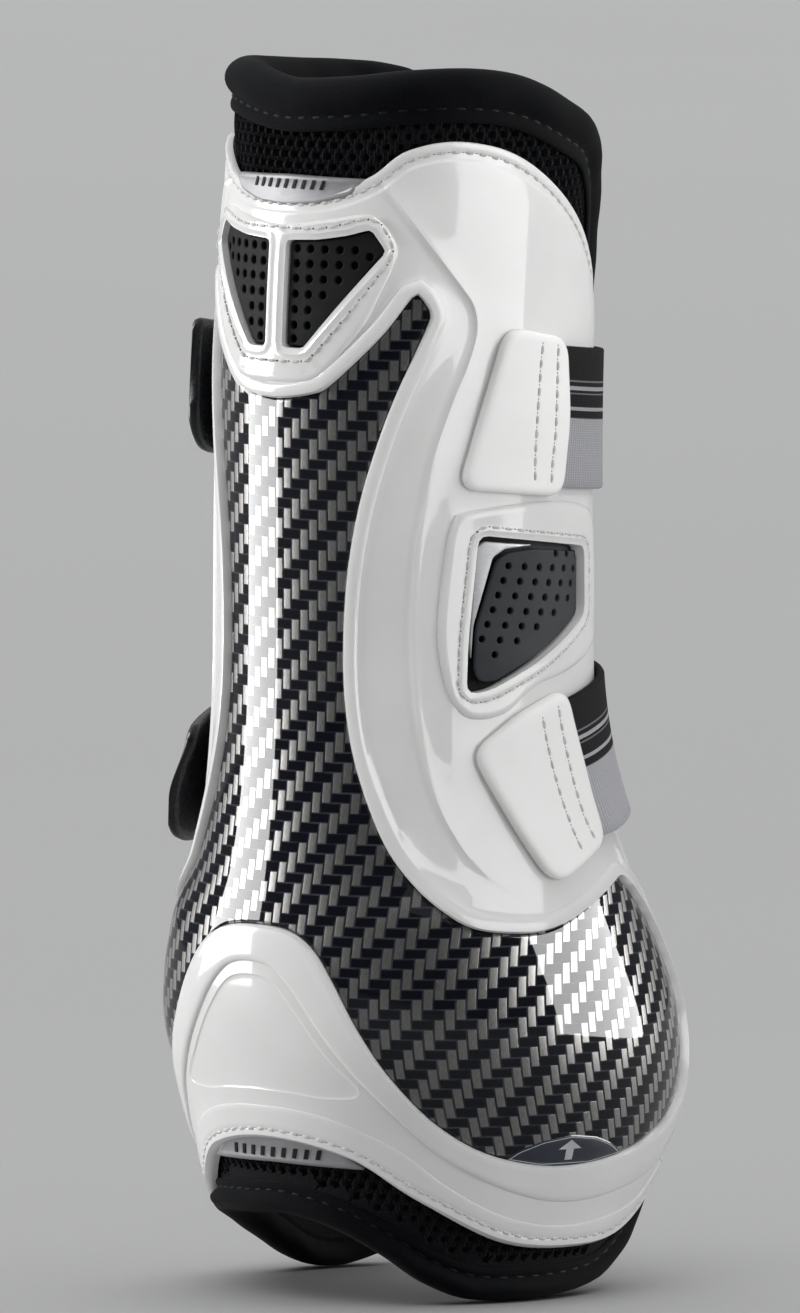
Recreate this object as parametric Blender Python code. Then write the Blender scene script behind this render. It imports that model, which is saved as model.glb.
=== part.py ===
"""Open-front tendon boot for a horse's foreleg: a moulded shell round the back and sides of the cannon
and fetlock, with a woven-look strike panel, vents, a padded liner and two elastic straps.

The boot stands upright. +Z is up, +Y is the open front, -Y the tendon and +X the side where the straps
are sewn on. Every layer is a patch of one wrapped surface, so it is laid out flat in two numbers: the
angle t round the leg in degrees, from 0 at the tendon to 180 at the front, and the height z in mm."""

import math

import bmesh
import bpy
from mathutils import Vector
from mathutils.geometry import delaunay_2d_cdt

MM = 0.001
GAP = 0.4  # clearance between neighbouring pieces, mm

# The leg-shaped form that everything is wrapped on, mm
CANNON_RADIUS = 42.8
FETLOCK_SWELL = 15.4
FETLOCK_HEIGHT = 58.0
SWELL_REACH = 42.0
FORWARD_SHIFT = 10.0
SHIFT_HEIGHT = 38.0
SHIFT_REACH = 46.0
TOP_LEAN = 4.0
LEAN_START = 190.0
LEAN_REACH = 70.0
BOX_MIDDLE = 3.2  # the origin is under the middle of the boot's box, this far in front of the form's axis
WIDTH_SHARE = 0.985  # side to side, of the mean radius
DEPTH_SHARE = 1.015  # front to back

# Layers, as distances outward from the shell's outer face, mm
SHELL = (-2.4, 0.0)
PANEL = (-2.4, -1.0)
VENT = (-2.4, -1.2)
TRIM = (-2.4, -1.5)
BADGE = (-2.4, -1.0)
MARKER = (-0.6, -0.1)
MESH = (-5.2, -3.1)
LINING = (-8.6, -5.8)
BINDING = (-9.2, -1.6)
STRAP_ROOT = (0.4, 1.7)
LOOP_PAD = (0.4, 1.2)
HOOK_PATCH = (1.6, 2.5)
TAB_THICKNESS = 3.4
STRAP_THICKNESS = 1.8
PULL_THICKNESS = 2.4
PULL_INNER = 2.9

# Flat pattern
MM_PER_DEGREE = 0.785
EDGE_STEP = 9.0
PANEL_STEP = 6.5
CORNER_STEP = 7.0
LATTICE_DEGREES = 10.0
LATTICE_MM = 12.0

# Straps, mm and degrees
STRAP_WIDTH = 32.0
ROOT_LENGTH = 20.0
FRONT = 180.0
PEEL_ANGLE = 242.5
PULL_END = 303.0
FLARE_START = 280.0
UPPER = {"hinge": 102.6, "height": 199.7, "rise": -3.4, "flare": 2.0}
LOWER = {"hinge": 107.2, "height": 121.0, "rise": 5.0, "flare": 5.0}
STRAP_CLEARANCE = 0.5
STRAP_NARROWING = 2.0  # the root and the pull tab are this much narrower than the band
CLIMB_START = 150.0  # from here, over CLIMB_SPAN, the strap climbs to lie over the fastening
CLIMB_SPAN = 85.0
TAB_CORNER = 5.0
TAB_STEP_LEAD = 17.0  # the sewn tab begins to rise this far before the strap's root
TAB_STEP_SPAN = 5.0
ROOT_CUT = 3.0  # the root ends this far before the hinge
HINGE_GAP = 1.2  # and the moving webbing begins this far past it

# Half outlines from the tendon line at the top, round the front edge, to the tendon line at the bottom
BOOT_EDGE = [
    (0, 277), (20, 278.5), (40, 280), (60, 280), (80, 277.5), (102, 271), (124, 263), (140, 249),
    (147, 228), (149, 200), (149, 160), (149, 120), (149, 80), (149, 50), (146, 29), (134, 13),
    (114, 3.5), (94, 0), (62, 0), (44, 4.5), (30, 11), (15, 16.5), (0, 19),
]
SEAM_EDGE = [
    (0, 270), (20, 271.3), (38, 272.5), (56, 272.5), (75, 269), (98, 260), (120, 250), (135.5, 238),
    (142.5, 220), (144.5, 195), (144.5, 158), (144.5, 120), (145, 82), (145, 53), (141.5, 36), (130, 20.5),
    (112, 11.5), (94, 8), (64, 9), (44, 14.5), (30, 19), (15, 23.8), (0, 26),
]
TOP_CORNER = 7  # where along the two edges above the top binding meets the front one
BOTTOM_CORNER = 15
SHELL_EDGE = [
    (0, 249), (20, 251), (31, 256), (41, 261.5), (57, 263.5), (77, 260), (98, 250.5), (118, 238),
    (133, 225), (140, 207), (142, 185), (142, 155), (142, 120), (142.5, 85), (142.5, 58), (139, 39),
    (128, 23), (109, 15), (88, 12), (64, 14), (40, 24), (22, 33.5), (0, 37),
]
PANEL_EDGE = [
    (0, 205), (14, 206.3), (21, 209), (36, 219.5), (45, 227.5), (48.3, 229.5), (50.8, 226.5), (48, 219),
    (41, 207), (33.5, 193), (28.5, 175), (26.5, 156), (27.5, 137), (32.5, 117), (41, 101.5), (52, 91.5),
    (66, 87), (82, 86.5), (97, 89.5), (110, 94.3), (115.5, 95), (124, 89.5), (133, 79), (136.5, 65),
    (134, 51.5), (126, 42.5), (113, 36.8), (100, 33.3), (86, 31.3), (71, 31.5), (56, 35), (44, 42),
    (35, 52), (28.5, 63), (23, 74), (18, 81), (11, 85), (0, 86),
]
TENDON_PAD_EDGE = [(0, 236), (18, 233), (30, 222), (34, 200), (34, 150), (30, 118), (18, 108), (0, 105)]
FETLOCK_PAD_EDGE = [(0, 98), (26, 95), (42, 82), (44, 66), (34, 52), (18, 46), (0, 45)]

# Corner points of pieces with straight sides
REAR_WINDOW = [(2.6, 241.5), (22, 242), (32, 244.5), (36.5, 239.5), (12.5, 217), (3.6, 217)]
SIDE_WINDOW = [(66, 173), (112.5, 170.5), (115, 156), (99, 149), (72, 140), (64.5, 141.5)]
SIDE_VENT = [(66.5, 154), (76, 168.3), (88, 171), (111.6, 169.7), (114, 156.4), (98.6, 149.8), (72, 141),
             (65.8, 142.3)]
SIDE_TRIM = [(67.5, 172), (86, 171.3), (75.4, 169), (67, 156)]
UPPER_TAB = [(74.6, 221.6), (98, 218.2), (100.6, 200), (96.6, 182), (59.8, 185)]
LOWER_TAB = [(63, 125.6), (79, 134), (97.7, 139.4), (104.4, 121.2), (108.4, 103.4), (83, 94.8)]
TOP_BADGE = [(-28, 255.6), (28, 255.6), (21, 252.2), (10, 250.5), (0, 249.7), (-10, 250.5), (-21, 252.2)]
BOTTOM_BADGE = [(-27, 30.8), (-17, 34.4), (0, 36.2), (17, 34.4), (27, 30.8), (0, 29.9)]
LEG_MARKER = [(62, 34.2), (68, 36.8), (79, 38.2), (90, 36.2), (95, 33.8), (86, 32.1), (71, 32.3)]

COLOURS = {  # base colour, roughness, metallic
    "shell_white": ((0.80, 0.80, 0.79), 0.25, 0.0),
    "woven_panel": ((0.10, 0.11, 0.14), 0.15, 0.0),
    "vent_rubber": ((0.06, 0.065, 0.07), 0.55, 0.0),
    "badge_silver": ((0.62, 0.62, 0.63), 0.3, 0.9),
    "liner_black": ((0.015, 0.016, 0.018), 0.85, 0.0),
    "binding_black": ((0.02, 0.021, 0.024), 0.8, 0.0),
    "foam_grey": ((0.25, 0.25, 0.26), 0.9, 0.0),
    "strap_webbing": ((0.05, 0.045, 0.05), 0.8, 0.0),
    "hook_black": ((0.02, 0.02, 0.02), 0.9, 0.0),
    "marker_navy": ((0.03, 0.035, 0.055), 0.4, 0.0),
}


def clear_scene():
    for thing in list(bpy.data.objects):
        bpy.data.objects.remove(thing)


def make_materials():
    made = {}
    for name, (colour, roughness, metallic) in COLOURS.items():
        material = bpy.data.materials.new(name)
        material.use_nodes = True
        shader = material.node_tree.nodes["Principled BSDF"]
        shader.inputs["Base Color"].default_value = (*colour, 1.0)
        shader.inputs["Roughness"].default_value = roughness
        shader.inputs["Metallic"].default_value = metallic
        made[name] = material
    return made


def smooth_step(x):
    x = min(1.0, max(0.0, x))
    return x * x * (3 - 2 * x)


def form_radius(z):
    return CANNON_RADIUS + FETLOCK_SWELL * math.exp(-(((z - FETLOCK_HEIGHT) / SWELL_REACH) ** 2))


def form_centre(z):
    low = FORWARD_SHIFT * math.exp(-(((z - SHIFT_HEIGHT) / SHIFT_REACH) ** 2))
    return low + TOP_LEAN * (max(z - LEAN_START, 0.0) / LEAN_REACH) ** 2


def surface(t, z, out):
    """The point at angle t and height z, at a distance outward from the shell's outer face, in metres."""
    angle = math.radians(t)
    x = (WIDTH_SHARE * form_radius(z) + out) * math.sin(angle)
    y = form_centre(z) - (DEPTH_SHARE * form_radius(z) + out) * math.cos(angle) - BOX_MIDDLE
    return Vector((x, y, z)) * MM


def flat(points):
    """Angle and height to the flat pattern, in mm both ways."""
    return [(t * MM_PER_DEGREE, z) for t, z in points]


def curve_through(points, step, first=0, last=None):
    """A Catmull-Rom curve through a closed outline's flat points, or through those from first to last,
    as points about a step apart."""
    count = len(points)
    found = []
    for i in range(first, count if last is None else last):
        a, b, c, d = (Vector(points[(i + k) % count]) for k in (-1, 0, 1, 2))
        parts = max(1, round((c - b).length / step))
        for k in range(parts):
            s = k / parts
            found.append(
                0.5 * (2 * b + (c - a) * s + (2 * a - 5 * b + 4 * c - d) * s**2 + (3 * b - a - 3 * c + d) * s**3)
            )
    if last is not None:
        found.append(Vector(points[last % count]))
    return [(p.x, max(p.y, 0.0)) for p in found]


def mirrored(half):
    """A closed outline from its half at positive t, whose first and last points lie on t = 0."""
    return half + [(-t, z) for t, z in reversed(half[1:-1])]


def other_side(points):
    return [(-t, z) for t, z in reversed(points)]


def rounded(corners, radius, step):
    """A polygon in the flat pattern with its corners rounded, and points about a step apart."""
    found = []
    count = len(corners)
    for i, here in enumerate(corners):
        before, at, after = Vector(corners[i - 1]), Vector(here), Vector(corners[(i + 1) % count])
        cut = min(radius, 0.45 * (before - at).length, 0.45 * (after - at).length)
        start, end = at + (before - at).normalized() * cut, at + (after - at).normalized() * cut
        for s in (0.0, 0.5, 1.0):
            found.append((1 - s) ** 2 * start + 2 * s * (1 - s) * at + s**2 * end)
        reach = after + (at - after).normalized() * min(radius, 0.45 * (after - at).length)
        parts = max(1, round((reach - end).length / step))
        found += [end.lerp(reach, k / parts) for k in range(1, parts)]
    return [(p.x, p.y) for p in found]


def turned_area(loop):
    return sum(a[0] * b[1] - b[0] * a[1] for a, b in zip(loop, loop[1:] + loop[:1], strict=True)) / 2


def inset(loop, distance):
    """A loop moved inward by a distance, along the mean normal at each point."""
    side = 1.0 if turned_area(loop) > 0 else -1.0
    found = []
    for i, here in enumerate(loop):
        along = Vector(loop[(i + 1) % len(loop)]) - Vector(loop[i - 1])
        inward = Vector((-along.y, along.x)).normalized() * side * distance
        found.append((here[0] + inward.x, here[1] + inward.y))
    return found


def trimmed(points, cut):
    """An open curve with both of its ends drawn in."""
    ends = []
    for here, there in ((points[0], points[1]), (points[-1], points[-2])):
        along = (Vector(there) - Vector(here)).normalized()
        ends.append((Vector(here) + along * cut)[:])
    return [ends[0], *points[1:-1], ends[1]]


def is_inside(u, z, loop):
    found = False
    for (u1, z1), (u2, z2) in zip(loop, loop[1:] + loop[:1], strict=True):
        if (z1 > z) != (z2 > z) and u < u1 + (z - z1) / (z2 - z1) * (u2 - u1):
            found = not found
    return found


def in_region(u, z, loops):
    return sum(is_inside(u, z, loop) for loop in loops) % 2 == 1


def lattice_points(loops, clear):
    """Points of the shared lattice inside the region, keeping clear of its edges."""
    edge_points = [Vector(p) for loop in loops for p in loop]
    step = LATTICE_DEGREES * MM_PER_DEGREE
    low, high = (f(p[0] for p in loops[0]) for f in (min, max))
    bottom, top = (f(p[1] for p in loops[0]) for f in (min, max))
    found = []
    for i in range(math.ceil(low / step), math.floor(high / step) + 1):
        for j in range(math.ceil(bottom / LATTICE_MM), math.floor(top / LATTICE_MM) + 1):
            u, z = i * step, j * LATTICE_MM
            if in_region(u, z, loops) and min((Vector((u, z)) - p).length for p in edge_points) > clear:
                found.append(Vector((u, z)))
    return found


def patch(name, loops, inner, outer, material, clear=2.2, pivot=None):
    """A solid between two distances from the form, over the region inside the first loop and outside the
    others. inner and outer are distances in mm, or functions of angle and height that give them. The
    object's origin is at the pivot, if it has one."""
    origin = pivot or Vector()
    points, edges = [], []
    for loop in loops:
        first = len(points)
        points += [Vector(p) for p in loop]
        edges += [(first + i, first + (i + 1) % len(loop)) for i in range(len(loop))]
    points += lattice_points(loops, clear)
    placed, _, faces, *_ = delaunay_2d_cdt(points, edges, [], 0, 1e-5)
    kept = []
    for face in faces:
        corners = [placed[v] for v in face]
        u, z = (sum(corner[k] for corner in corners) / 3 for k in (0, 1))
        if in_region(u, z, loops):
            kept.append(face if turned_area(corners) > 0 else face[::-1])

    def distance(what, t, z):
        return what(t, z) if callable(what) else what

    mesh = bmesh.new()
    layers = []
    for what in (inner, outer):
        layer = []
        for u, z in placed:
            t = u / MM_PER_DEGREE
            layer.append(mesh.verts.new(surface(t, z, distance(what, t, z)) - origin))
        layers.append(layer)
    uses = {}
    for face in kept:
        mesh.faces.new([layers[1][v] for v in face])
        mesh.faces.new([layers[0][v] for v in reversed(face)])
        for a, b in zip(face, [*face[1:], face[0]], strict=True):
            uses.setdefault(frozenset((a, b)), []).append((a, b))
    for used in uses.values():
        if len(used) == 1:
            a, b = used[0]
            mesh.faces.new([layers[1][b], layers[1][a], layers[0][a], layers[0][b]])
    bmesh.ops.delete(mesh, geom=[v for v in mesh.verts if not v.link_faces], context="VERTS")
    data = bpy.data.meshes.new(name)
    mesh.to_mesh(data)
    mesh.free()
    data.shade_smooth()
    data.set_sharp_from_angle(angle=math.radians(35))
    data.materials.append(material)
    thing = bpy.data.objects.new(name, data)
    thing.location = origin
    bpy.context.scene.collection.objects.link(thing)
    return thing


def strap_height(strap, t):
    """Height of a strap's centreline: it is highest at the front and drops towards both sides."""
    share = (t - FRONT) / (FRONT - strap["hinge"])
    return strap["height"] + strap["rise"] * (1 - share * share)


def spaced(start, end, step):
    """Points about a step apart on a straight line, without its end."""
    parts = max(1, round((Vector(end) - Vector(start)).length / step))
    return [Vector(start).lerp(Vector(end), k / parts)[:] for k in range(parts)]


def band(strap, start, end, width, round_end=0.0, step=CORNER_STEP):
    """The flat outline of a strip that follows a strap's centreline between two angles. Its far end can
    have rounded corners."""
    straight = (end - start) * MM_PER_DEGREE - round_end
    parts = max(2, round(straight / step))
    stations = [(straight * k / parts, width / 2) for k in range(parts + 1)]
    if round_end:
        for turn in (math.pi / 6, math.pi / 3, math.pi / 2):
            half = width / 2 - round_end * (1 - math.cos(turn))
            stations.append((straight + round_end * math.sin(turn), half))
    above, below = [], []
    for along, half in stations:
        t = start + along / MM_PER_DEGREE
        rise = strap_height(strap, t + 0.5) - strap_height(strap, t - 0.5)
        normal = Vector((-rise, MM_PER_DEGREE)).normalized() * half
        centre = Vector((t * MM_PER_DEGREE, strap_height(strap, t)))
        above.append((centre + normal)[:])
        below.append((centre - normal)[:])
    far_end = spaced(above[-1], below[-1], step)
    return above[:-1] + far_end + below[:0:-1] + spaced(below[0], above[0], step)


def strap_inner(t, _z):
    """The strap lies close to the sewn side and is carried out over the fastening on the far side."""
    return STRAP_CLEARANCE + (PULL_INNER - STRAP_CLEARANCE) * smooth_step((t - CLIMB_START) / CLIMB_SPAN)


def strap_outer(t, z):
    return strap_inner(t, z) + STRAP_THICKNESS


def pull_face(strap, raised):
    """A face of the pull tab, which bends away from the boot towards its free end."""

    def distance(t, _z):
        bent = max(0.0, (t - FLARE_START) / (PULL_END - FLARE_START)) ** 2
        return PULL_INNER + raised + strap["flare"] * bent

    return distance


def tab_inner(strap):
    """The tab lies on the shell at its rear and steps up over the sewn end of the strap."""
    start = strap["hinge"] - ROOT_LENGTH
    rise = strap_height(strap, start + 0.5) - strap_height(strap, start - 0.5)

    def distance(t, z):
        past = t - start + (z - strap_height(strap, start)) * rise / MM_PER_DEGREE**2
        return GAP + STRAP_ROOT[1] * smooth_step((past + TAB_STEP_LEAD) / TAB_STEP_SPAN)

    return distance


def build_shell(materials):
    shell_loop = curve_through(flat(mirrored(SHELL_EDGE)), EDGE_STEP)
    panel_loop = curve_through(flat(mirrored(PANEL_EDGE)), PANEL_STEP)
    windows = []
    for corners in (REAR_WINDOW, SIDE_WINDOW):
        for side in (corners, other_side(corners)):
            windows.append(rounded(flat(side), 2.0, CORNER_STEP))
    patch("outer_shell", [shell_loop, panel_loop, *windows], *SHELL, materials["shell_white"])
    patch("strike_panel", [inset(panel_loop, GAP)], *PANEL, materials["woven_panel"])
    for name, window in zip(("rear_vent_right", "rear_vent_left"), windows[:2], strict=True):
        patch(name, [inset(window, GAP)], *VENT, materials["vent_rubber"])
    for word, flip in (("right", False), ("left", True)):
        vent = other_side(SIDE_VENT) if flip else SIDE_VENT
        trim = other_side(SIDE_TRIM) if flip else SIDE_TRIM
        patch(f"side_vent_{word}", [rounded(flat(vent), 1.2, CORNER_STEP)], *VENT, materials["vent_rubber"])
        patch(f"side_trim_{word}", [rounded(flat(trim), 0.4, CORNER_STEP)], *TRIM, materials["badge_silver"], 1.0)
    patch("leg_marker", [rounded(flat(LEG_MARKER), 0.6, CORNER_STEP)], *MARKER, materials["marker_navy"], 1.2)


def build_liner(materials):
    seam = curve_through(flat(mirrored(SEAM_EDGE)), EDGE_STEP)
    liner = inset(seam, GAP)
    tendon = curve_through(flat(mirrored(TENDON_PAD_EDGE)), EDGE_STEP)
    fetlock = curve_through(flat(mirrored(FETLOCK_PAD_EDGE)), EDGE_STEP)
    patch("spacer_mesh", [liner, tendon, fetlock], *MESH, materials["liner_black"])
    patch("inner_lining", [liner], *LINING, materials["liner_black"])
    patch("tendon_pad", [inset(tendon, GAP)], *MESH, materials["foam_grey"])
    patch("fetlock_pad", [inset(fetlock, GAP)], *MESH, materials["foam_grey"])


def build_bindings(materials):
    """The edge binding is one strip along the top, one along the bottom and one down each front edge."""
    outside, inside = (flat(mirrored(half)) for half in (BOOT_EDGE, SEAM_EDGE))
    round_trip = len(outside)
    stretches = {
        "top_binding": (-TOP_CORNER, TOP_CORNER),
        "front_binding_right": (TOP_CORNER, BOTTOM_CORNER),
        "bottom_binding": (BOTTOM_CORNER, round_trip - BOTTOM_CORNER),
        "front_binding_left": (round_trip - BOTTOM_CORNER, round_trip - TOP_CORNER),
    }
    for name, (first, last) in stretches.items():
        edge, seam = (
            trimmed(curve_through(points, EDGE_STEP, first, last), GAP) for points in (outside, inside)
        )
        patch(name, [edge + seam[::-1]], *BINDING, materials["binding_black"], 1.8)


def build_badges(materials):
    silver = materials["badge_silver"]
    patch("top_badge", [rounded(flat(TOP_BADGE), 1.0, CORNER_STEP)], *BADGE, silver, 1.5)
    patch("bottom_badge", [rounded(flat(BOTTOM_BADGE), 1.0, CORNER_STEP)], *BADGE, silver, 1.5)


def build_strap(word, strap, tab_corners, materials):
    """One strap: its sewn tab and root on the right side, the band round the front and the pull tab."""
    hinge = strap["hinge"]
    swing = surface(hinge, strap_height(strap, hinge), strap_outer(hinge, 0.0))
    peel = surface(PEEL_ANGLE, strap_height(strap, PEEL_ANGLE), PULL_INNER + PULL_THICKNESS)
    webbing, black = materials["strap_webbing"], materials["hook_black"]
    tab = rounded(flat(tab_corners), TAB_CORNER, CORNER_STEP)
    patch(f"{word}_strap_tab", [tab], tab_inner(strap), TAB_THICKNESS, materials["shell_white"])
    root = band(strap, hinge - ROOT_LENGTH, hinge - ROOT_CUT, STRAP_WIDTH - STRAP_NARROWING)
    patch(f"{word}_strap_root", [root], *STRAP_ROOT, webbing)
    main_band = band(strap, hinge + HINGE_GAP, PEEL_ANGLE - HINGE_GAP, STRAP_WIDTH)
    patch(f"{word}_strap", [main_band], strap_inner, strap_outer, webbing, pivot=swing)
    pull = band(strap, PEEL_ANGLE + HINGE_GAP, PULL_END, STRAP_WIDTH - STRAP_NARROWING, round_end=8.0)
    faces = pull_face(strap, 0.0), pull_face(strap, PULL_THICKNESS)
    patch(f"{word}_pull_tab", [pull], *faces, materials["vent_rubber"], pivot=peel)
    hook = band(strap, PEEL_ANGLE + 5, FLARE_START + 2, STRAP_WIDTH - 8)
    patch(f"{word}_hook_patch", [hook], *HOOK_PATCH, black, pivot=peel)
    loop = band(strap, PEEL_ANGLE - 2, FLARE_START + 5, STRAP_WIDTH)
    patch(f"{word}_loop_pad", [loop], *LOOP_PAD, black)


def main():
    clear_scene()
    materials = make_materials()
    build_shell(materials)
    build_liner(materials)
    build_bindings(materials)
    build_badges(materials)
    build_strap("upper", UPPER, UPPER_TAB, materials)
    build_strap("lower", LOWER, LOWER_TAB, materials)


main()
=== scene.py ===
"""The looks of the tendon boot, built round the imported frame.

Almost every piece is a patch of one leg-shaped form, so it is drawn flat in two numbers: the angle t
round the leg in degrees, from 0 at the tendon to 180 at the open front, and the height z in mm. A
piece's outer face is a height field over that pattern, in mm outward from the shell's plain face."""

import math

import bpy
import numpy as np
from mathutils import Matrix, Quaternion, Vector
from mathutils.geometry import delaunay_2d_cdt
from mathutils.kdtree import KDTree


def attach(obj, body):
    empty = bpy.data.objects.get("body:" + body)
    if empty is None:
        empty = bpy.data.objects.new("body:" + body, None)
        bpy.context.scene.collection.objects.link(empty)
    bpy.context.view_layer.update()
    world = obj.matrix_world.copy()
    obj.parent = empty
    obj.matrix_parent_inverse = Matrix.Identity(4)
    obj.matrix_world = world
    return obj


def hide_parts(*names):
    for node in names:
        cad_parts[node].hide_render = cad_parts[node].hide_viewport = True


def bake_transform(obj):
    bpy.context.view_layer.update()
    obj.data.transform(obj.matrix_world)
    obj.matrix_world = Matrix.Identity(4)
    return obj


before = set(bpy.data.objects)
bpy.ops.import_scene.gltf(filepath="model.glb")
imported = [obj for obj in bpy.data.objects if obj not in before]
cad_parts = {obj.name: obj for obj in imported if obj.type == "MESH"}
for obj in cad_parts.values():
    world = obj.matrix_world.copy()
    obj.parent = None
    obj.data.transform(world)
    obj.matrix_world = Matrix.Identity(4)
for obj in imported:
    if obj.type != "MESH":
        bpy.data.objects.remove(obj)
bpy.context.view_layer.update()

MM = 0.001

# The form, mm: the same as the CAD model's
CANNON_RADIUS = 42.8
FETLOCK_SWELL = 15.4
FETLOCK_HEIGHT = 58.0
SWELL_REACH = 42.0
FORWARD_SHIFT = 10.0
SHIFT_HEIGHT = 38.0
SHIFT_REACH = 46.0
TOP_LEAN = 4.0
LEAN_START = 190.0
LEAN_REACH = 70.0
BOX_MIDDLE = 3.2
WIDTH_SHARE = 0.985
DEPTH_SHARE = 1.015
FLAT_SCALE = 0.8  # mm per degree of the plane that patches are triangulated in

# Where the padding makes the boot fuller than the CAD form, mm: either side of the tendon
FULL_ANGLE = 48.0
FULL_REACH = 22.0
FETLOCK_FULLNESS = 2.8
TOP_FULLNESS = 2.0

# Straps: angles in degrees and heights in mm, as in the CAD model
FRONT = 180.0
PEEL_ANGLE = 242.5
PULL_END = 303.0
FLARE_START = 280.0
PULL_INNER = 2.9
STRAP_CLEARANCE = 0.5
STRAP_THICKNESS = 1.8
ROOT_REACH = 9.0  # degrees of the strap under its tab
BEND_REACH = 14.0  # degrees past the tab's edge with closer points, where the strap bends
STRAP_WIDTH = 32.0
HALF_STRAP = STRAP_WIDTH / 2
# rise: how much higher a strap is at the front than at its tab. flare: how far out its pull tab's end
# stands, and top_droop: the share of that which its upper edge lacks. splay: how far the strap's lower
# edge stands off the leg. corners: the radii of the pull tab's upper and lower corner.
UPPER = {
    "word": "upper", "hinge": 102.6, "height": 199.7, "rise": -3.4, "flare": 2.0,
    "splay": 0.0, "top_droop": 0.0, "corners": (1.6, 9.5),
}
LOWER = {
    "word": "lower", "hinge": 107.2, "height": 121.0, "rise": 5.0, "flare": 5.0,
    "splay": 2.2, "top_droop": 0.85, "corners": (4.0, 8.0),
}

# Half outlines, from the tendon line at the top round the front edge to the tendon line at the bottom
BOOT_EDGE = [
    (0, 277), (20, 278), (40, 279.6), (60, 279.8), (80, 277.6), (102, 271.8), (124, 264.5), (140, 250),
    (147, 228), (149, 200), (149, 160), (149, 120), (149, 80), (149, 50), (146, 29), (134, 13), (114, 3.5),
    (94, 0.3), (62, 0.3), (44, 4.5), (30, 11), (15, 16.5), (0, 19),
]
BOOT_FAR_EDGE = [  # the boot's edge on its other side, which stands taller at the front
    (-10, 277.2), (-22, 278.2), (-36, 279.4), (-52, 279.6), (-70, 278.6), (-88, 277.5), (-106, 276.6),
    (-124, 275.2), (-137, 272), (-145, 262), (-148.5, 244), (-149, 215), (-149, 180), (-149, 140),
    (-149, 100), (-149, 60), (-148, 34), (-142, 17), (-130, 5.5), (-114, 0.6), (-100, 0.3), (-88, 3),
    (-74, 8.4), (-60, 13), (-46, 16.2), (-30, 17.6), (-14, 18.5),
]
SHELL_EDGE = [
    (0, 251), (12, 251.4), (21, 252.8), (31, 256), (41, 261.5), (57, 263.5), (77, 260), (98, 250.5),
    (118, 238), (133, 225), (140, 207), (142, 185), (142, 155), (142, 120), (142.5, 85), (142.5, 58),
    (139, 39), (128, 23), (109, 13.5), (88, 11.6), (64, 14), (40, 24), (22, 33.5), (0, 37),
]
# The start of the shell's edge on the other side, where it is a little lower
SHELL_FAR_TOP = [(12, 251.3), (22, 252.3), (34, 254.8), (46, 258.6), (60, 262), (78, 260.4)]
PANEL_EDGE = [
    (0, 205), (14, 206.3), (21, 209), (36, 219.5), (44.6, 227.9), (46.6, 229.2), (48.3, 228.2), (51, 225.3),
    (51.2, 223.8), (48.6, 218.8), (40.6, 205.5), (35, 194), (30.2, 182), (26.6, 168), (25.1, 154),
    (25.2, 140.5), (27.3, 128), (31.4, 116.8), (37.6, 104.7), (44.2, 96.5), (51.3, 90.3), (58.4, 86.3),
    (69, 84.8), (78, 85), (87, 86.9), (97.5, 90.1), (107, 92.9), (113.5, 94.4), (117.5, 93.8), (124, 89.5),
    (132, 80), (136.5, 65), (134, 51.5), (126, 42.5), (113, 36.8), (100, 33.3), (86, 31.3), (71, 31.5),
    (56, 35), (44, 42), (35, 52), (28.5, 63), (23, 74), (18, 81), (11, 85), (0, 86),
]
RIM_EDGE = [  # the raised rim under the panel: its top half lies on the panel, so that only the rest shows
    (0, 96), (40, 78), (90, 60), (118, 70), (119, 100), (124, 97), (134, 90), (141, 78), (142, 62),
    (138, 46), (127, 33.5), (114, 27), (100, 24), (86, 22.5), (74, 23.2), (63, 26), (53, 30), (44.5, 35),
    (37, 41.5), (29.8, 49), (25.5, 54), (21, 60), (16.5, 66.5), (12.5, 72), (7, 76.6), (0, 77.8),
]
HEM_EDGE = [  # the hem that the bottom badge is let into
    (0, 44.8), (9, 44.5), (20, 42.4), (34, 36.5), (48, 27), (62, 20.5), (76, 17.5), (92, 17.3), (112, 20.5),
    (128, 28), (150, 28), (150, 0), (0, 0),
]
YOKE_EDGE = [
    (0, 244.2), (18.8, 246), (29.7, 247.2), (34.5, 245.6), (38.2, 242.3), (40.2, 239), (38.6, 234.6),
    (35.2, 229), (31.6, 223), (26.5, 218), (21.7, 213.6), (17, 210.4), (12, 209), (0, 208.7),
]
RIDGE = [
    (32, 257.5), (36.1, 253.3), (48, 242.1), (60.4, 230.7), (64.6, 226), (65.6, 220.3), (62.8, 212.5),
    (59, 205.7), (53.3, 193.5), (50, 182.2), (47.8, 172.6), (46.4, 158.7), (46.3, 148), (47.2, 136),
    (49, 126.7), (51.8, 116.9), (56, 108.5), (61.2, 101.1), (66.4, 96.6), (73, 93),
]
SIDE_FRAME = [
    (63.8, 180.1), (58.4, 177.6), (55.6, 167), (53.9, 152), (56, 141.2), (59.7, 135.4), (65, 132.9),
    (75.3, 133.9), (87, 139.6), (101, 142), (118, 146), (123, 151), (124, 165), (121, 176), (112, 179.5),
    (90, 181.3),
]
REAR_WINDOW = [
    (3.4, 240.9), (15, 241.3), (24.5, 242.4), (31.8, 243.9), (36.8, 238.9), (11.2, 216.6), (3.4, 216.6),
]
SIDE_WINDOW = [
    (66.8, 174.6), (63.4, 151), (62.6, 138.6), (70, 139.2), (88.5, 145.2), (114, 154.6), (114, 169.8),
]
SIDE_VENT = [
    (78, 170.1), (73.9, 168.4), (66.9, 153.6), (66, 144), (67.6, 141.2), (73, 141.2), (88.5, 146.2),
    (100, 150.2), (112, 154.6), (112.6, 168.6), (100, 169.7), (88.6, 170.6),
]
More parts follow.
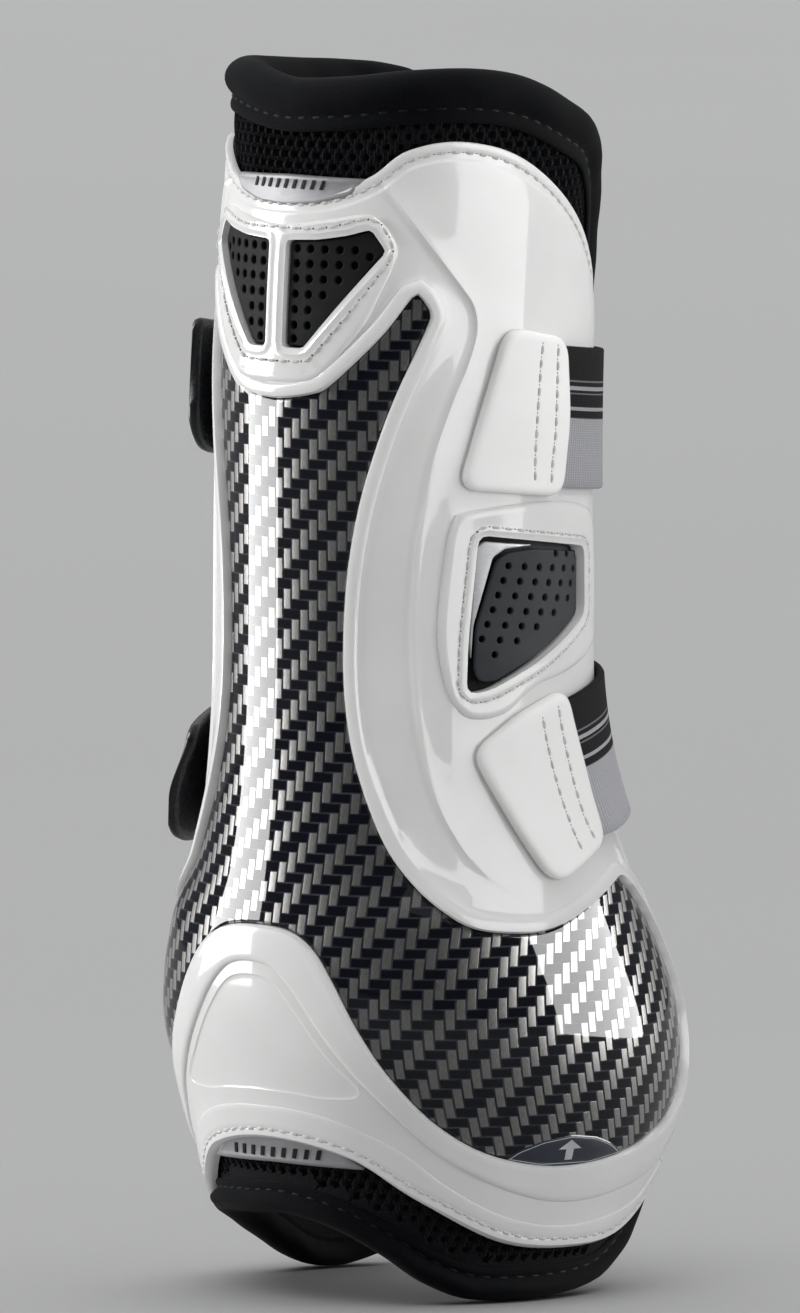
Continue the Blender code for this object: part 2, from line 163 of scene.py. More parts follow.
SIDE_TRIM = [
    (67.2, 171.6), (70, 172.9), (88.6, 171.4), (77.4, 170.9), (73, 169.2), (66.2, 154), (65.3, 146.4),
    (64.9, 150),
]
TEARDROP = [(0, 75), (7, 73.6), (13, 67.5), (21, 56.5), (27.5, 48.8), (20, 47.3), (9, 48.2), (0, 48.6)]
UPPER_TAB = [(74.6, 221.6), (98, 218.2), (100.4, 200), (96.6, 182), (59.8, 185)]
LOWER_TAB = [(63, 125.6), (79, 134), (97.7, 139), (104.4, 121.2), (108.2, 103.6), (83, 94.8)]
TOP_BADGE = [(-29, 254.6), (0, 255.4), (29, 255), (24, 251), (12, 249), (0, 248.5), (-12, 249), (-24, 251)]
BOTTOM_BADGE = [
    (-27, 30.8), (-17, 36.6), (0, 38.8), (17, 36.6), (27, 30.8), (13, 31.2), (0, 31.5), (-13, 31.2),
]
LEG_MARKER = [
    (61, 33), (65, 35.3), (71, 37.2), (79, 38.2), (87, 37.2), (93, 35.2), (98, 32.6), (86, 31), (71, 31.2),
]
MARKER_ARROW = [(79, 37), (75.6, 34.9), (77.9, 34.9), (77.9, 32.4), (80.1, 32.4), (80.1, 34.9), (82.4, 34.9)]


# ---------------- the form and flat curves


def form_radius(z):
    return CANNON_RADIUS + FETLOCK_SWELL * np.exp(-(((z - FETLOCK_HEIGHT) / SWELL_REACH) ** 2))


def form_centre(z):
    low = FORWARD_SHIFT * np.exp(-(((z - SHIFT_HEIGHT) / SHIFT_REACH) ** 2))
    return low + TOP_LEAN * (np.maximum(z - LEAN_START, 0.0) / LEAN_REACH) ** 2


def fullness(t, z):
    """How far the padding pushes the form outward, in mm: most at 62 to 84 mm high and at the top."""
    low = FETLOCK_FULLNESS * smooth((100 - z) / 16) * (0.2 + 0.8 * smooth((z - 40) / 22))
    high = TOP_FULLNESS * smooth((z - 252) / 14)
    around = np.abs((t + 180) % 360 - 180)
    return np.exp(-(((around - FULL_ANGLE) / FULL_REACH) ** 2)) * (low + high)


def place(points, out):
    """Flat points (t, z), at a distance outward in mm, as an array of places in metres."""
    points = np.asarray(points, float)
    t, z = np.radians(points[:, 0]), points[:, 1]
    out = out + fullness(points[:, 0], z)
    radius = form_radius(z)
    x = (WIDTH_SHARE * radius + out) * np.sin(t)
    y = form_centre(z) - (DEPTH_SHARE * radius + out) * np.cos(t) - BOX_MIDDLE
    return np.stack([x, y, z + 0 * x], 1) * MM


def per_degree(z):
    """Millimetres round the form in one degree at a height."""
    return np.radians(form_radius(z))


def smooth(x):
    x = np.clip(x, 0.0, 1.0)
    return x * x * (3 - 2 * x)


def crown(d, radius):
    """0 at an edge, rising on a quarter circle to 1 at a distance of one radius inside it."""
    x = 1 - np.clip(d / radius, 0.0, 1.0)
    return np.sqrt(1 - x * x)


def mirrored(half):
    """A closed outline from its half at positive t, whose first and last points lie on t = 0."""
    return half + [(-t, z) for t, z in reversed(half[1:-1])]


def flipped(points):
    return [(-t, z) for t, z in reversed(points)]


def length_along(points):
    """Millimetres from the first point to each point of a flat line."""
    points = np.asarray(points, float)
    steps = np.diff(points, axis=0)
    steps[:, 0] *= per_degree((points[1:, 1] + points[:-1, 1]) / 2)
    return np.concatenate([[0], np.cumsum(np.hypot(steps[:, 0], steps[:, 1]))])


def respaced(points, step, closed):
    """Points an even step apart along a flat line, with both of its ends kept."""
    points = np.asarray(points, float)
    if closed:
        points = np.vstack([points, points[:1]])
    along = length_along(points)
    count = max(2, round(along[-1] / step) + 1)
    at = np.linspace(0, along[-1], count)
    found = np.stack([np.interp(at, along, points[:, k]) for k in (0, 1)], 1)
    return found[:-1] if closed else found


def curve(points, step, closed=True):
    """A Catmull-Rom curve through flat points, with its own points a step apart."""
    points = np.asarray(points, float)
    count = len(points)
    found = []
    for i in range(count if closed else count - 1):
        picks = [(i + k) % count if closed else min(max(i + k, 0), count - 1) for k in (-1, 0, 1, 2)]
        a, b, c, d = points[picks]
        s = np.linspace(0, 1, 12, endpoint=False)[:, None]
        found.append(
            0.5 * (2 * b + (c - a) * s + (2 * a - 5 * b + 4 * c - d) * s**2 + (3 * b - a - 3 * c + d) * s**3)
        )
    if not closed:
        found.append(points[-1:])
    return respaced(np.vstack(found), step, closed)


def rounded(corners, radius, step):
    """A polygon with rounded corners, with points a step apart."""
    flat = np.asarray(corners, float) * (FLAT_SCALE, 1)
    found = []
    for i, at in enumerate(flat):
        before, after = flat[i - 1] - at, flat[(i + 1) % len(flat)] - at
        cut = min(radius, 0.45 * np.linalg.norm(before), 0.45 * np.linalg.norm(after))
        start, end = at + before / np.linalg.norm(before) * cut, at + after / np.linalg.norm(after) * cut
        s = np.linspace(0, 1, 7)[:, None]
        found.append((1 - s) ** 2 * start + 2 * s * (1 - s) * at + s**2 * end)
    return respaced(np.vstack(found) / (FLAT_SCALE, 1), step, True)


def spread(points, line, closed):
    """The distance in mm from each flat point to a flat line."""
    points, line = np.asarray(points, float), np.asarray(line, float)
    ends = np.roll(line, -1, 0) if closed else line[1:]
    starts = line if closed else line[:-1]
    found = np.empty(len(points))
    for first in range(0, len(points), 2000):
        p = points[first : first + 2000]
        scale = np.stack([per_degree(p[:, 1]), np.ones(len(p))], 1)[:, None]
        a = (starts[None] - p[:, None]) * scale
        b = (ends[None] - p[:, None]) * scale
        ab = b - a
        s = np.clip(-(a * ab).sum(2) / np.maximum((ab * ab).sum(2), 1e-9), 0, 1)
        nearest = a + ab * s[..., None]
        found[first : first + 2000] = np.sqrt((nearest**2).sum(2).min(1))
    return found


def inside(points, loop):
    points, loop = np.asarray(points, float), np.asarray(loop, float)
    ends = np.roll(loop, -1, 0)
    found = np.zeros(len(points), bool)
    for (t1, z1), (t2, z2) in zip(loop, ends, strict=True):
        if z1 == z2:
            continue
        crosses = (z1 > points[:, 1]) != (z2 > points[:, 1])
        found ^= crosses & (points[:, 0] < t1 + (points[:, 1] - z1) / (z2 - z1) * (t2 - t1))
    return found


def depth_in(points, loop, reach=8.0):
    """The distance inside a loop, in mm: negative outside it. Far points get plus or minus the reach."""
    points, loop = np.asarray(points, float), np.asarray(loop, float)
    within = inside(points, loop)
    margin = np.array([reach / per_degree(points[:, 1].mean()), reach])
    near = ((points > loop.min(0) - margin) & (points < loop.max(0) + margin)).all(1)
    found = np.full(len(points), reach)
    found[near] = np.minimum(spread(points[near], loop, True), reach)
    return np.where(within, found, -found)


def shifted(line, distance, closed=True):
    """A flat line moved to its left by a distance in mm; a loop drawn anticlockwise moves inward."""
    line = np.asarray(line, float)
    if closed:
        along = np.roll(line, -1, 0) - np.roll(line, 1, 0)
    else:
        along = np.gradient(line, axis=0)
    scale = per_degree(line[:, 1])
    along[:, 0] *= scale
    along /= np.maximum(np.linalg.norm(along, axis=1), 1e-9)[:, None]
    return line + distance * np.stack([-along[:, 1] / scale, along[:, 0]], 1)


def turning(loop):
    loop = np.asarray(loop, float)
    after = np.roll(loop, -1, 0)
    return 1.0 if (loop[:, 0] * after[:, 1] - after[:, 0] * loop[:, 1]).sum() > 0 else -1.0


def inset(loop, distance):
    return shifted(loop, distance * turning(loop))


# ---------------- meshes


def rows_beside(line, distances, closed=True):
    """Lines that run beside a flat line at each of the distances, in mm, broken where they would fold.
    The distances are inward for a loop, and to the left for an open line."""
    side = turning(line) if closed else 1.0
    found = []
    for distance in distances:
        row = shifted(line, distance * side, closed)
        good = spread(row, line, closed) > abs(distance) - 0.04
        found += runs(row, good, closed)
    return found


def runs(row, good, closed=False):
    """The unbroken stretches of a row where good is true."""
    if good.all():
        return [np.vstack([row, row[:1]]) if closed else row]
    if closed:
        shift = int(np.argmin(good))
        row, good = np.roll(row, -shift, 0), np.roll(good, -shift)
    found, start = [], None
    for i, fine in enumerate([*good, False]):
        if fine and start is None:
            start = i
        elif not fine and start is not None:
            if i - start > 1:
                found.append(row[start:i])
            start = None
    return found


def honey_lattice(loop, step):
    """Points of a triangular lattice over a loop's box."""
    low, high = loop.min(0), loop.max(0)
    row_step = step * math.sqrt(3) / 2
    rows = np.arange(math.floor(low[1] / row_step), math.ceil(high[1] / row_step) + 1)
    columns = np.arange(math.floor(low[0] * FLAT_SCALE / step), math.ceil(high[0] * FLAT_SCALE / step) + 1)
    j, i = np.meshgrid(rows, columns, indexing="ij")
    return np.stack([(i + 0.5 * (j % 2)) * step / FLAT_SCALE, j * row_step], -1).reshape(-1, 2)


def in_region(points, loops):
    return sum(inside(points, loop).astype(int) for loop in loops) % 2 == 1


def near_tree(points):
    tree = KDTree(len(points))
    for i, (t, z) in enumerate(points):
        tree.insert((t * FLAT_SCALE, z, 0), i)
    tree.balance()
    return tree


def clear_of(points, tree, reach):
    return np.array([tree.find((t * FLAT_SCALE, z, 0))[2] > reach for t, z in points], bool)


def triangulate(loops, rows, dots, spacing, clear):
    """The flat points and triangles of a patch inside the first loop and outside the others. Its edges
    follow the rows; dots are single points, and a lattice fills what is left."""
    points, edges, first = [], [], 0
    for loop in loops:
        n = len(loop)
        points.append(loop)
        edges += [(first + i, first + (i + 1) % n) for i in range(n)]
        first += n
    border = near_tree(np.vstack(points))
    for row in rows:
        good = in_region(row, loops) & clear_of(row, border, clear)
        for part in runs(row, good):
            points.append(part)
            edges += [(first + i, first + i + 1) for i in range(len(part) - 1)]
            first += len(part)
    if dots is not None and len(dots):
        dots = dots[in_region(dots, loops)]
        points.append(dots[clear_of(dots, near_tree(np.vstack(points)), clear)])
    lattice = honey_lattice(loops[0], spacing)
    lattice = lattice[in_region(lattice, loops)]
    if len(lattice):
        points.append(lattice[clear_of(lattice, near_tree(np.vstack(points)), 0.62 * spacing)])
    flat = [Vector((t * FLAT_SCALE, z)) for t, z in np.vstack(points)]
    placed, _, faces, *_ = delaunay_2d_cdt(flat, edges, [], 0, 1e-5)
    placed = np.array([(p.x / FLAT_SCALE, p.y) for p in placed])
    faces = np.array(faces)
    faces = faces[in_region(placed[faces].mean(1), loops)]
    a, b, c = placed[faces[:, 0]], placed[faces[:, 1]], placed[faces[:, 2]]
    area = (b[:, 0] - a[:, 0]) * (c[:, 1] - a[:, 1]) - (b[:, 1] - a[:, 1]) * (c[:, 0] - a[:, 0])
    faces[area < 0] = faces[area < 0][:, ::-1]
    used, faces = np.unique(faces, return_inverse=True)
    return placed[used], faces.reshape(-1, 3)


def new_mesh(name, verts, faces, flat=None, sharp=38):
    """A mesh object. flat gives each vertex's place in the pattern, in mm, for the UV map."""
    data = bpy.data.meshes.new(name)
    data.from_pydata(np.asarray(verts).tolist(), [], [list(map(int, f)) for f in faces])
    data.validate()
    if flat is not None:
        layer = data.uv_layers.new(name="Pattern")
        corner = np.empty(len(data.loops), int)
        data.loops.foreach_get("vertex_index", corner)
        layer.data.foreach_set("uv", np.asarray(flat, np.float32)[corner].ravel())
    data.shade_smooth()
    data.set_sharp_from_angle(angle=math.radians(sharp))
    thing = bpy.data.objects.new(name, data)
    bpy.context.scene.collection.objects.link(thing)
    return thing


def pattern_mm(points):
    """Flat points as millimetres round the form and millimetres up."""
    return np.stack([points[:, 0] * per_degree(points[:, 1]), points[:, 1]], 1)


def solid(name, loops, outer, inner, rows=(), dots=None, spacing=3.0, clear=0.22):
    """A closed piece between two height fields over a patch of the form."""
    points, faces = triangulate(loops, list(rows), dots, spacing, clear)
    n = len(points)
    directed = np.vstack([faces[:, [0, 1]], faces[:, [1, 2]], faces[:, [2, 0]]])
    key = np.sort(directed, 1)
    _, where, count = np.unique(key, axis=0, return_index=True, return_counts=True)
    rim = directed[where[count == 1]]
    a, b = rim[:, 0], rim[:, 1]
    walls = np.vstack([np.stack([b, a, a + n], 1), np.stack([b, a + n, b + n], 1)])
    verts = np.vstack([place(points, outer(points)), place(points, inner(points))])
    flat = pattern_mm(points)
    return new_mesh(name, verts, np.vstack([faces, faces[:, ::-1] + n, walls]), np.vstack([flat, flat]))


def level(distance):
    return lambda points: np.full(len(points), float(distance))


def bevelled(loop, distance, drop, radius):
    """A level face whose edge inside a loop is rounded off."""
    return lambda points: distance - drop * (1 - crown(depth_in(points, loop), radius))


def finished(piece, material, body="boot", replaces=()):
    """Gives a piece its material, the body it rides on and the CAD nodes it stands for."""
    piece.data.materials.append(material)
    if body:
        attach(piece, body)
    if replaces:
        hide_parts(*replaces)
    return piece


def bump_at(distance, middle, width):
    return np.exp(-(((distance - middle) / width) ** 2))


# ---------------- materials


class Nodes:
    """A small helper for building a material's node tree in code."""

    def __init__(self, name):
        self.material = bpy.data.materials.new(name)
        self.material.use_nodes = True
        self.tree = self.material.node_tree
        self.shader = self.tree.nodes["Principled BSDF"]

    def link(self, value, socket):
        if isinstance(value, bpy.types.NodeSocket):
            self.tree.links.new(value, socket)
        else:
            socket.default_value = value

    def node(self, kind, inputs, **settings):
        """A new node, with each of its named inputs set to a value or linked to a socket."""
        node = self.tree.nodes.new(f"ShaderNode{kind}")
        for key, value in settings.items():
            setattr(node, key, value)
        for key, value in inputs.items():
            self.link(value, node.inputs[key])
        return node

    def math(self, kind, a, b=0.0):
        return self.node("Math", {0: a, 1: b}, operation=kind).outputs[0]

    def add(self, a, b):
        return self.math("ADD", a, b)

    def minus(self, a, b):
        return self.math("SUBTRACT", a, b)

    def times(self, a, b):
        return self.math("MULTIPLY", a, b)

    def wave(self, value, pitch):
        return self.math("SINE", self.times(value, 2 * math.pi / pitch))

    def mix(self, share, a, b):
        node = self.node("Mix", {"Factor": share}, data_type="RGBA")
        for value, key in ((a, "A"), (b, "B")):
            socket = next(s for s in node.inputs if s.name == key and s.type == "RGBA")
            self.link((*value, 1.0) if isinstance(value, tuple) else value, socket)
        return next(s for s in node.outputs if s.type == "RGBA")

    def between(self, value, low, high, to_low=0.0, to_high=1.0):
        ends = {"From Min": low, "From Max": high, "To Min": to_low, "To Max": to_high}
        return self.node("MapRange", {"Value": value, **ends}).outputs["Result"]

    def tinted(self, value, colour, other, low=0.3, high=0.7):
        """One colour where a value is low, shading to the other where it is high."""
        return self.mix(self.between(value, low, high), colour, other)

    def noise(self, scale, detail=2.0, coordinates="Object", stretch=None):
        where = self.node("TexCoord", {}).outputs[coordinates]
        if stretch:
            where = self.node("Mapping", {"Vector": where, "Scale": stretch}).outputs[0]
        return self.node("TexNoise", {"Vector": where, "Scale": scale, "Detail": detail}).outputs["Fac"]

    def pattern(self):
        """The two pattern coordinates, in mm."""
        split = self.node("SeparateXYZ", {0: self.node("UVMap", {}, uv_map="Pattern").outputs[0]})
        return split.outputs["X"], split.outputs["Y"]

    def bump(self, height, depth_mm):
        inputs = {"Strength": 1.0, "Distance": depth_mm * MM, "Height": height}
        return self.node("Bump", inputs).outputs[0]

    def set(self, **values):
        """Sets the shader's inputs. A keyword is an input's name with underscores for its spaces."""
        for key, value in values.items():
            self.link(value, self.shader.inputs[key.replace("_", " ")])


def make_shell_white():
    n = Nodes("shell_white")
    n.set(Base_Color=n.tinted(n.noise(38, 3), (0.80, 0.80, 0.79), (0.86, 0.86, 0.85)))
    n.set(Roughness=n.between(n.noise(160, 4), 0.3, 0.7, 0.17, 0.26), Normal=n.bump(n.noise(900, 2), 0.012))
    n.set(Coat_Weight=0.32, Coat_Roughness=0.035, IOR=1.5, Specular_IOR_Level=0.05, Subsurface_Weight=0.05)
    n.shader.inputs["Subsurface Radius"].default_value = (0.003, 0.0028, 0.0026)
    return n.material


def make_thread(name, colour, dark):
    n = Nodes(name)
    twist = n.noise(2600, 2, stretch=(1, 1, 0.4))
    n.set(Base_Color=n.tinted(twist, dark, colour, 0.35, 0.65), Normal=n.bump(twist, 0.06))
    n.set(Roughness=0.75, Sheen_Weight=0.02, Specular_IOR_Level=0.1)
    return n.material


TOW_ACROSS = 2.42  # mm from one upright tow to the next
TOW_UP = 2.28  # mm from one level tow to the next


def make_woven():
    """A two-by-two twill of pale upright tows and navy level tows under clear gloss."""
    n = Nodes("woven_panel")
    u, v = n.pattern()
    x, y = n.math("DIVIDE", u, TOW_ACROSS), n.math("DIVIDE", v, TOW_UP)
    column, row = n.math("FLOOR", x), n.math("FLOOR", y)
    across, up = n.minus(n.minus(x, column), 0.5), n.minus(n.minus(y, row), 0.5)

    def float_mask(lengthwise, sideways, half_length, half_width):
        """1 where a tow lies on top of the others, softened over a small margin."""
        far = n.minus(half_length, n.math("ABSOLUTE", lengthwise))
        side = n.minus(half_width, n.math("ABSOLUTE", sideways))
        return n.between(n.math("MINIMUM", far, side), 0.0, 0.05)

    def along_float(value):
        """The place along a tow in a repeat of four tows: -1 to 1 where it lies on top."""
        repeats = n.math("FLOOR", n.math("DIVIDE", value, 4.0))
        return n.minus(n.minus(value, n.times(repeats, 4.0)), 1.0)

    pale = float_mask(along_float(n.minus(y, column)), across, 1.0, 0.415)
    navy = float_mask(along_float(n.add(n.minus(x, row), 3.0)), up, 0.97, 0.43)
    upright_strands = n.noise(1.0, 2, "UV", (9.0, 0.7, 1.0))
    level_strands = n.noise(1.0, 2, "UV", (0.7, 9.0, 1.0))
    patches = n.noise(1.0, 1, "UV", (0.12, 0.12, 1.0))
    pale_tint = n.tinted(upright_strands, (0.115, 0.112, 0.109), (0.205, 0.20, 0.195))
    navy_tint = n.tinted(level_strands, (0.0005, 0.0010, 0.0032), (0.0022, 0.0038, 0.0090))
    gap_tint = n.tinted(patches, (0.010, 0.012, 0.018), (0.040, 0.042, 0.048), 0.4, 0.6)
    n.set(Base_Color=n.mix(navy, n.mix(pale, gap_tint, pale_tint), navy_tint))
    n.set(Metallic=n.times(pale, 0.8), Roughness=n.between(pale, 0.0, 1.0, 0.5, 0.40))
    arch = n.minus(1.0, n.times(n.times(across, across), 3.0))
    n.set(Normal=n.bump(n.times(arch, pale), 0.05))
    n.set(Coat_Weight=1.0, Coat_Roughness=0.03, Coat_IOR=1.33, IOR=1.3, Specular_IOR_Level=0.01)
    return n.material


def make_rubber(name, colour, lighter, roughness, shine=0.15):
    n = Nodes(name)
    grain = n.noise(1500, 3)
    n.set(Base_Color=n.tinted(n.noise(70, 3), colour, lighter), Normal=n.bump(grain, 0.03))
    n.set(Roughness=n.between(grain, 0.3, 0.7, roughness - 0.06, roughness + 0.08), Specular_IOR_Level=shine)
    return n.material


def make_silver(name, colour, metallic):
    n = Nodes(name)
    brushed = n.noise(1.0, 3, "UV", (0.35, 7.0, 1.0))
    n.set(Base_Color=n.tinted(brushed, tuple(0.82 * c for c in colour), colour), Metallic=metallic)
    n.set(Roughness=n.between(brushed, 0.3, 0.7, 0.38, 0.55), Normal=n.bump(brushed, 0.015))
    n.set(Anisotropic=0.4, Specular_IOR_Level=0.12)
    return n.material


def make_knit(name, colour, lighter, pitch, depth_mm):
    """A fine knit: rows of small loops, with some fuzz."""
    n = Nodes(name)
    u, v = n.pattern()
    wale = n.wave(u, pitch)
    slant = n.add(v, n.times(n.math("ABSOLUTE", wale), 0.35 * pitch))
    course = n.wave(slant, 0.8 * pitch)
    loops = n.times(n.add(wale, 1.2), n.add(course, 1.2))
    height = n.add(n.times(loops, 0.22), n.noise(1800, 3))
    # The colour darkens into the dips between the loops: painted shade, with random tone from the fuzz.
    n.set(Base_Color=n.tinted(height, colour, lighter, 0.4, 1.6), Normal=n.bump(height, depth_mm))
    n.set(Roughness=0.9, Sheen_Weight=0.05, Sheen_Roughness=0.5, Specular_IOR_Level=0.05)
    return n.material


def make_plain(name, colour, lighter, grain, depth_mm, **inputs):
    """One grain, given as a noise scale and its detail, both tints the surface and makes it uneven."""
    n = Nodes(name)
    noise = n.noise(*grain)
    n.set(Base_Color=n.tinted(noise, colour, lighter), Normal=n.bump(noise, depth_mm), **inputs)
    return n.material


def make_felt(name, colour, lighter, depth_mm):
    shine = {"Roughness": 0.95, "Sheen_Weight": 0.02, "Specular_IOR_Level": 0.05}
    return make_plain(name, colour, lighter, (2200, 4), depth_mm, **shine)


def make_webbing():
    """Woven elastic: black above and silver-grey below, with a few thin level stripes. It fills a strap's
    pattern, whose V runs from 0 at the lower edge to the strap's width."""
    n = Nodes("strap_webbing")
    u, v = n.pattern()
    weave = n.add(n.times(n.wave(u, 0.9), 0.3), n.times(n.wave(v, 0.55), 0.2))
    weave = n.add(weave, n.times(n.noise(1900, 2), 0.8))

    def stripe(middle, half):
        return n.math("LESS_THAN", n.math("ABSOLUTE", n.minus(v, middle)), half)

    # Both tints darken into the dips of the weave: painted shade, with random tone from the noise.
    black = n.tinted(weave, (0.006, 0.0055, 0.006), (0.017, 0.0155, 0.017), 0.0, 0.9)
    grey = n.tinted(weave, (0.37, 0.37, 0.395), (0.52, 0.52, 0.545), 0.0, 0.9)
    tint = n.mix(n.between(v, 15.7, 16.0), grey, black)
    pale = n.math("MAXIMUM", stripe(22.6, 0.45), stripe(18.0, 0.4))
    faint = n.math("MAXIMUM", stripe(24.2, 0.2), stripe(21.4, 0.15))
    tint = n.mix(pale, tint, (0.42, 0.43, 0.46))
    tint = n.mix(n.times(faint, 0.6), tint, (0.30, 0.30, 0.32))
    n.set(Base_Color=tint, Normal=n.bump(weave, 0.07))
    n.set(Roughness=0.8, Sheen_Weight=0.02, Specular_IOR_Level=0.03)
    return n.material


def make_hooks():
    n = Nodes("hook_black")
    u, v = n.pattern()
    height = n.add(n.times(n.wave(u, 0.8), n.wave(v, 0.8)), n.noise(2400, 2))
    # The colour darkens between the hooks: painted shade, with random tone from the noise.
    n.set(Base_Color=n.tinted(height, (0.006, 0.006, 0.007), (0.035, 0.035, 0.037), 0.0, 1.4))
    n.set(Roughness=0.7, Normal=n.bump(height, 0.25))
    return n.material


SHELL_WHITE = make_shell_white()
WOVEN = make_woven()
REAR_RUBBER = make_rubber("rear_vent_rubber", (0.014, 0.014, 0.015), (0.022, 0.023, 0.024), 0.62, shine=0.04)
SIDE_RUBBER = make_rubber("side_vent_rubber", (0.046, 0.050, 0.055), (0.060, 0.065, 0.070), 0.6, shine=0.03)
# Near black: painted shade behind the windows, and the own colour of the badges' ticks.
SHADE_AND_TICK_BLACK = make_rubber("recess_shade_and_tick_black", (0.003, 0.003, 0.003), (0.006, 0.006, 0.006), 0.7)
PULL_BLACK = make_rubber("pull_rubber", (0.003, 0.0035, 0.0045), (0.006, 0.0065, 0.008), 0.30, shine=0.3)
SILVER = make_silver("badge_silver", (0.30, 0.30, 0.31), 0.15)
TRIM_SILVER = make_silver("trim_silver", (0.52, 0.53, 0.54), 0.2)
WHITE_THREAD = make_thread("white_thread", (0.80, 0.80, 0.78), (0.55, 0.55, 0.54))
BLACK_THREAD = make_thread("black_thread", (0.013, 0.0135, 0.015), (0.004, 0.004, 0.005))
# Painted shade: the grey of the needle holes stands in for the shade inside them.
NEEDLE_HOLE_SHADE = make_rubber("needle_hole_shade", (0.10, 0.10, 0.105), (0.14, 0.14, 0.145), 0.9)
BINDING_BLACK = make_felt("binding_black", (0.0025, 0.0028, 0.0036), (0.0052, 0.0057, 0.0070), 0.05)
MESH_BLACK = make_knit("spacer_mesh_black", (0.0022, 0.0024, 0.0030), (0.013, 0.014, 0.017), 0.55, 0.10)
LINING_BLACK = make_knit("lining_black", (0.0030, 0.0030, 0.0034), (0.0075, 0.0075, 0.0085), 0.9, 0.06)
TAPE_BLACK = make_knit("tape_black", (0.006, 0.006, 0.007), (0.020, 0.020, 0.022), 0.8, 0.08)
LOOP_FELT = make_felt("loop_felt", (0.008, 0.008, 0.009), (0.030, 0.030, 0.033), 0.2)
WEBBING = make_webbing()
HOOKS = make_hooks()
MARKER_NAVY = make_plain(
    "marker_navy", (0.010, 0.014, 0.028), (0.016, 0.021, 0.038), (300, 2), 0.01,
    Roughness=0.35, Coat_Weight=0.6, Coat_Roughness=0.05, Specular_IOR_Level=0.2,
)


# ---------------- the shell

# Widths, heights and depths in mm, heights and levels being outward from the shell's plain face
FLANGE = 3.9  # the thinner sewn edge
FLANGE_DROP = 0.55
SEAM_INSET = 2.3
SEAM_GROOVE = 0.3
WINDOW_SEAM = 2.1
WINDOW_GROOVE = 0.24
BEAD_WIDTH = 3.4
BEAD_HEIGHT = 0.95
WING = (45.0, 97.0)  # the angle and height where the bead round the panel is widest
RIDGE_HEIGHT = 0.42
CHANNEL_DEPTH = 0.35
RIM_HEIGHT = 0.9
HEM_HEIGHT = 0.4
YOKE_HEIGHT = 1.0
FRAME_HEIGHT = 1.15
TEARDROP_DEPTH = 0.28
PANEL_LEVEL = -0.9
PLATE_LEVEL = -0.75
BACK = -2.4
ROW_STEP = 1.9

shell_loop = curve(SHELL_EDGE + flipped(SHELL_FAR_TOP + SHELL_EDGE[7:-1]), ROW_STEP)
panel_loop = curve(mirrored(PANEL_EDGE), 1.6)
rim_loop = curve(mirrored(RIM_EDGE), ROW_STEP)
hem_loop = curve(mirrored(HEM_EDGE), ROW_STEP)
yoke_loop = curve(mirrored(YOKE_EDGE), 1.6)
teardrop_loop = curve(mirrored(TEARDROP), 1.8)
rear_windows = [rounded(side, 1.1, 1.2) for side in (REAR_WINDOW, flipped(REAR_WINDOW))]
side_windows = [rounded(side, 2.6, 1.4) for side in (SIDE_WINDOW, flipped(SIDE_WINDOW))]
side_frames = [curve(side, 1.7) for side in (SIDE_FRAME, flipped(SIDE_FRAME))]
ridges = [curve(RIDGE, ROW_STEP, False), curve(flipped(RIDGE), ROW_STEP, False)]


def ridge_region(ridge):
    """The ridge closed through the panel, so that being inside means lying between the two."""
    side = np.sign(ridge[len(ridge) // 2][0])
    return np.vstack([ridge[np.argsort(-ridge[:, 1], kind="stable")], [[side * 60, 70], [0, 70], [0, 257]]])


def shell_height(points):
    """The shell's outer face: a plain level with grooves in it, and whatever raised shape is tallest."""
    edge = depth_in(points, shell_loop)
    panel = -depth_in(points, panel_loop)
    window = np.minimum.reduce([-depth_in(points, loop, 5) for loop in (*rear_windows, *side_windows)])
    t, z = points.T
    base = -FLANGE_DROP * (1 - crown(edge - FLANGE, 0.7))
    for ridge in ridges:
        near = spread(points, ridge, False)
        within = inside(points, ridge_region(ridge))
        fade = smooth((z - 90) / 18) * smooth((257 - z) / 7)  # gone at 90 mm high and at 257
        channel = within * smooth((panel - 3.8) / 0.9) * smooth(near / 1.3)
        crest = np.where(within, bump_at(near, 0, 0.45), bump_at(near, 0, 1.7))
        base = base + fade * (RIDGE_HEIGHT * crest - CHANNEL_DEPTH * channel)
    width = BEAD_WIDTH + bump_at(np.hypot((np.abs(t) - WING[0]) * 0.9, z - WING[1]), 0, 20)
    bead = BEAD_HEIGHT * np.sqrt(np.clip(1 - ((panel - width / 2) / (width / 2)) ** 2, 0, 1)) ** 0.8
    raised = np.maximum.reduce([
        np.where(panel > 0, bead, 0),
        RIM_HEIGHT * crown(depth_in(points, rim_loop), 1.4) * crown(panel, 0.9),
        YOKE_HEIGHT * crown(depth_in(points, yoke_loop), 1.3),
        *[FRAME_HEIGHT * crown(depth_in(points, loop), 1.4) for loop in side_frames],
        HEM_HEIGHT * crown(depth_in(points, hem_loop), 0.9) * crown(edge - 0.2, 0.6),
    ])
    teardrop = depth_in(points, teardrop_loop)
    raised = raised - TEARDROP_DEPTH * crown(teardrop, 0.8) * (teardrop > 0)
    height = base * (1 - smooth(raised / 0.4)) + raised
    height = height - SEAM_GROOVE * bump_at(edge, SEAM_INSET, 0.5)
    height = height - WINDOW_GROOVE * bump_at(window, WINDOW_SEAM, 0.45)
    for distance, drop, radius in ((edge, 0.8, 0.8), (window, 0.5, 0.5), (panel, 0.35, 0.4)):
        height = height - drop * (1 - crown(distance, radius))  # softens the shell's edge and each opening's
    return height


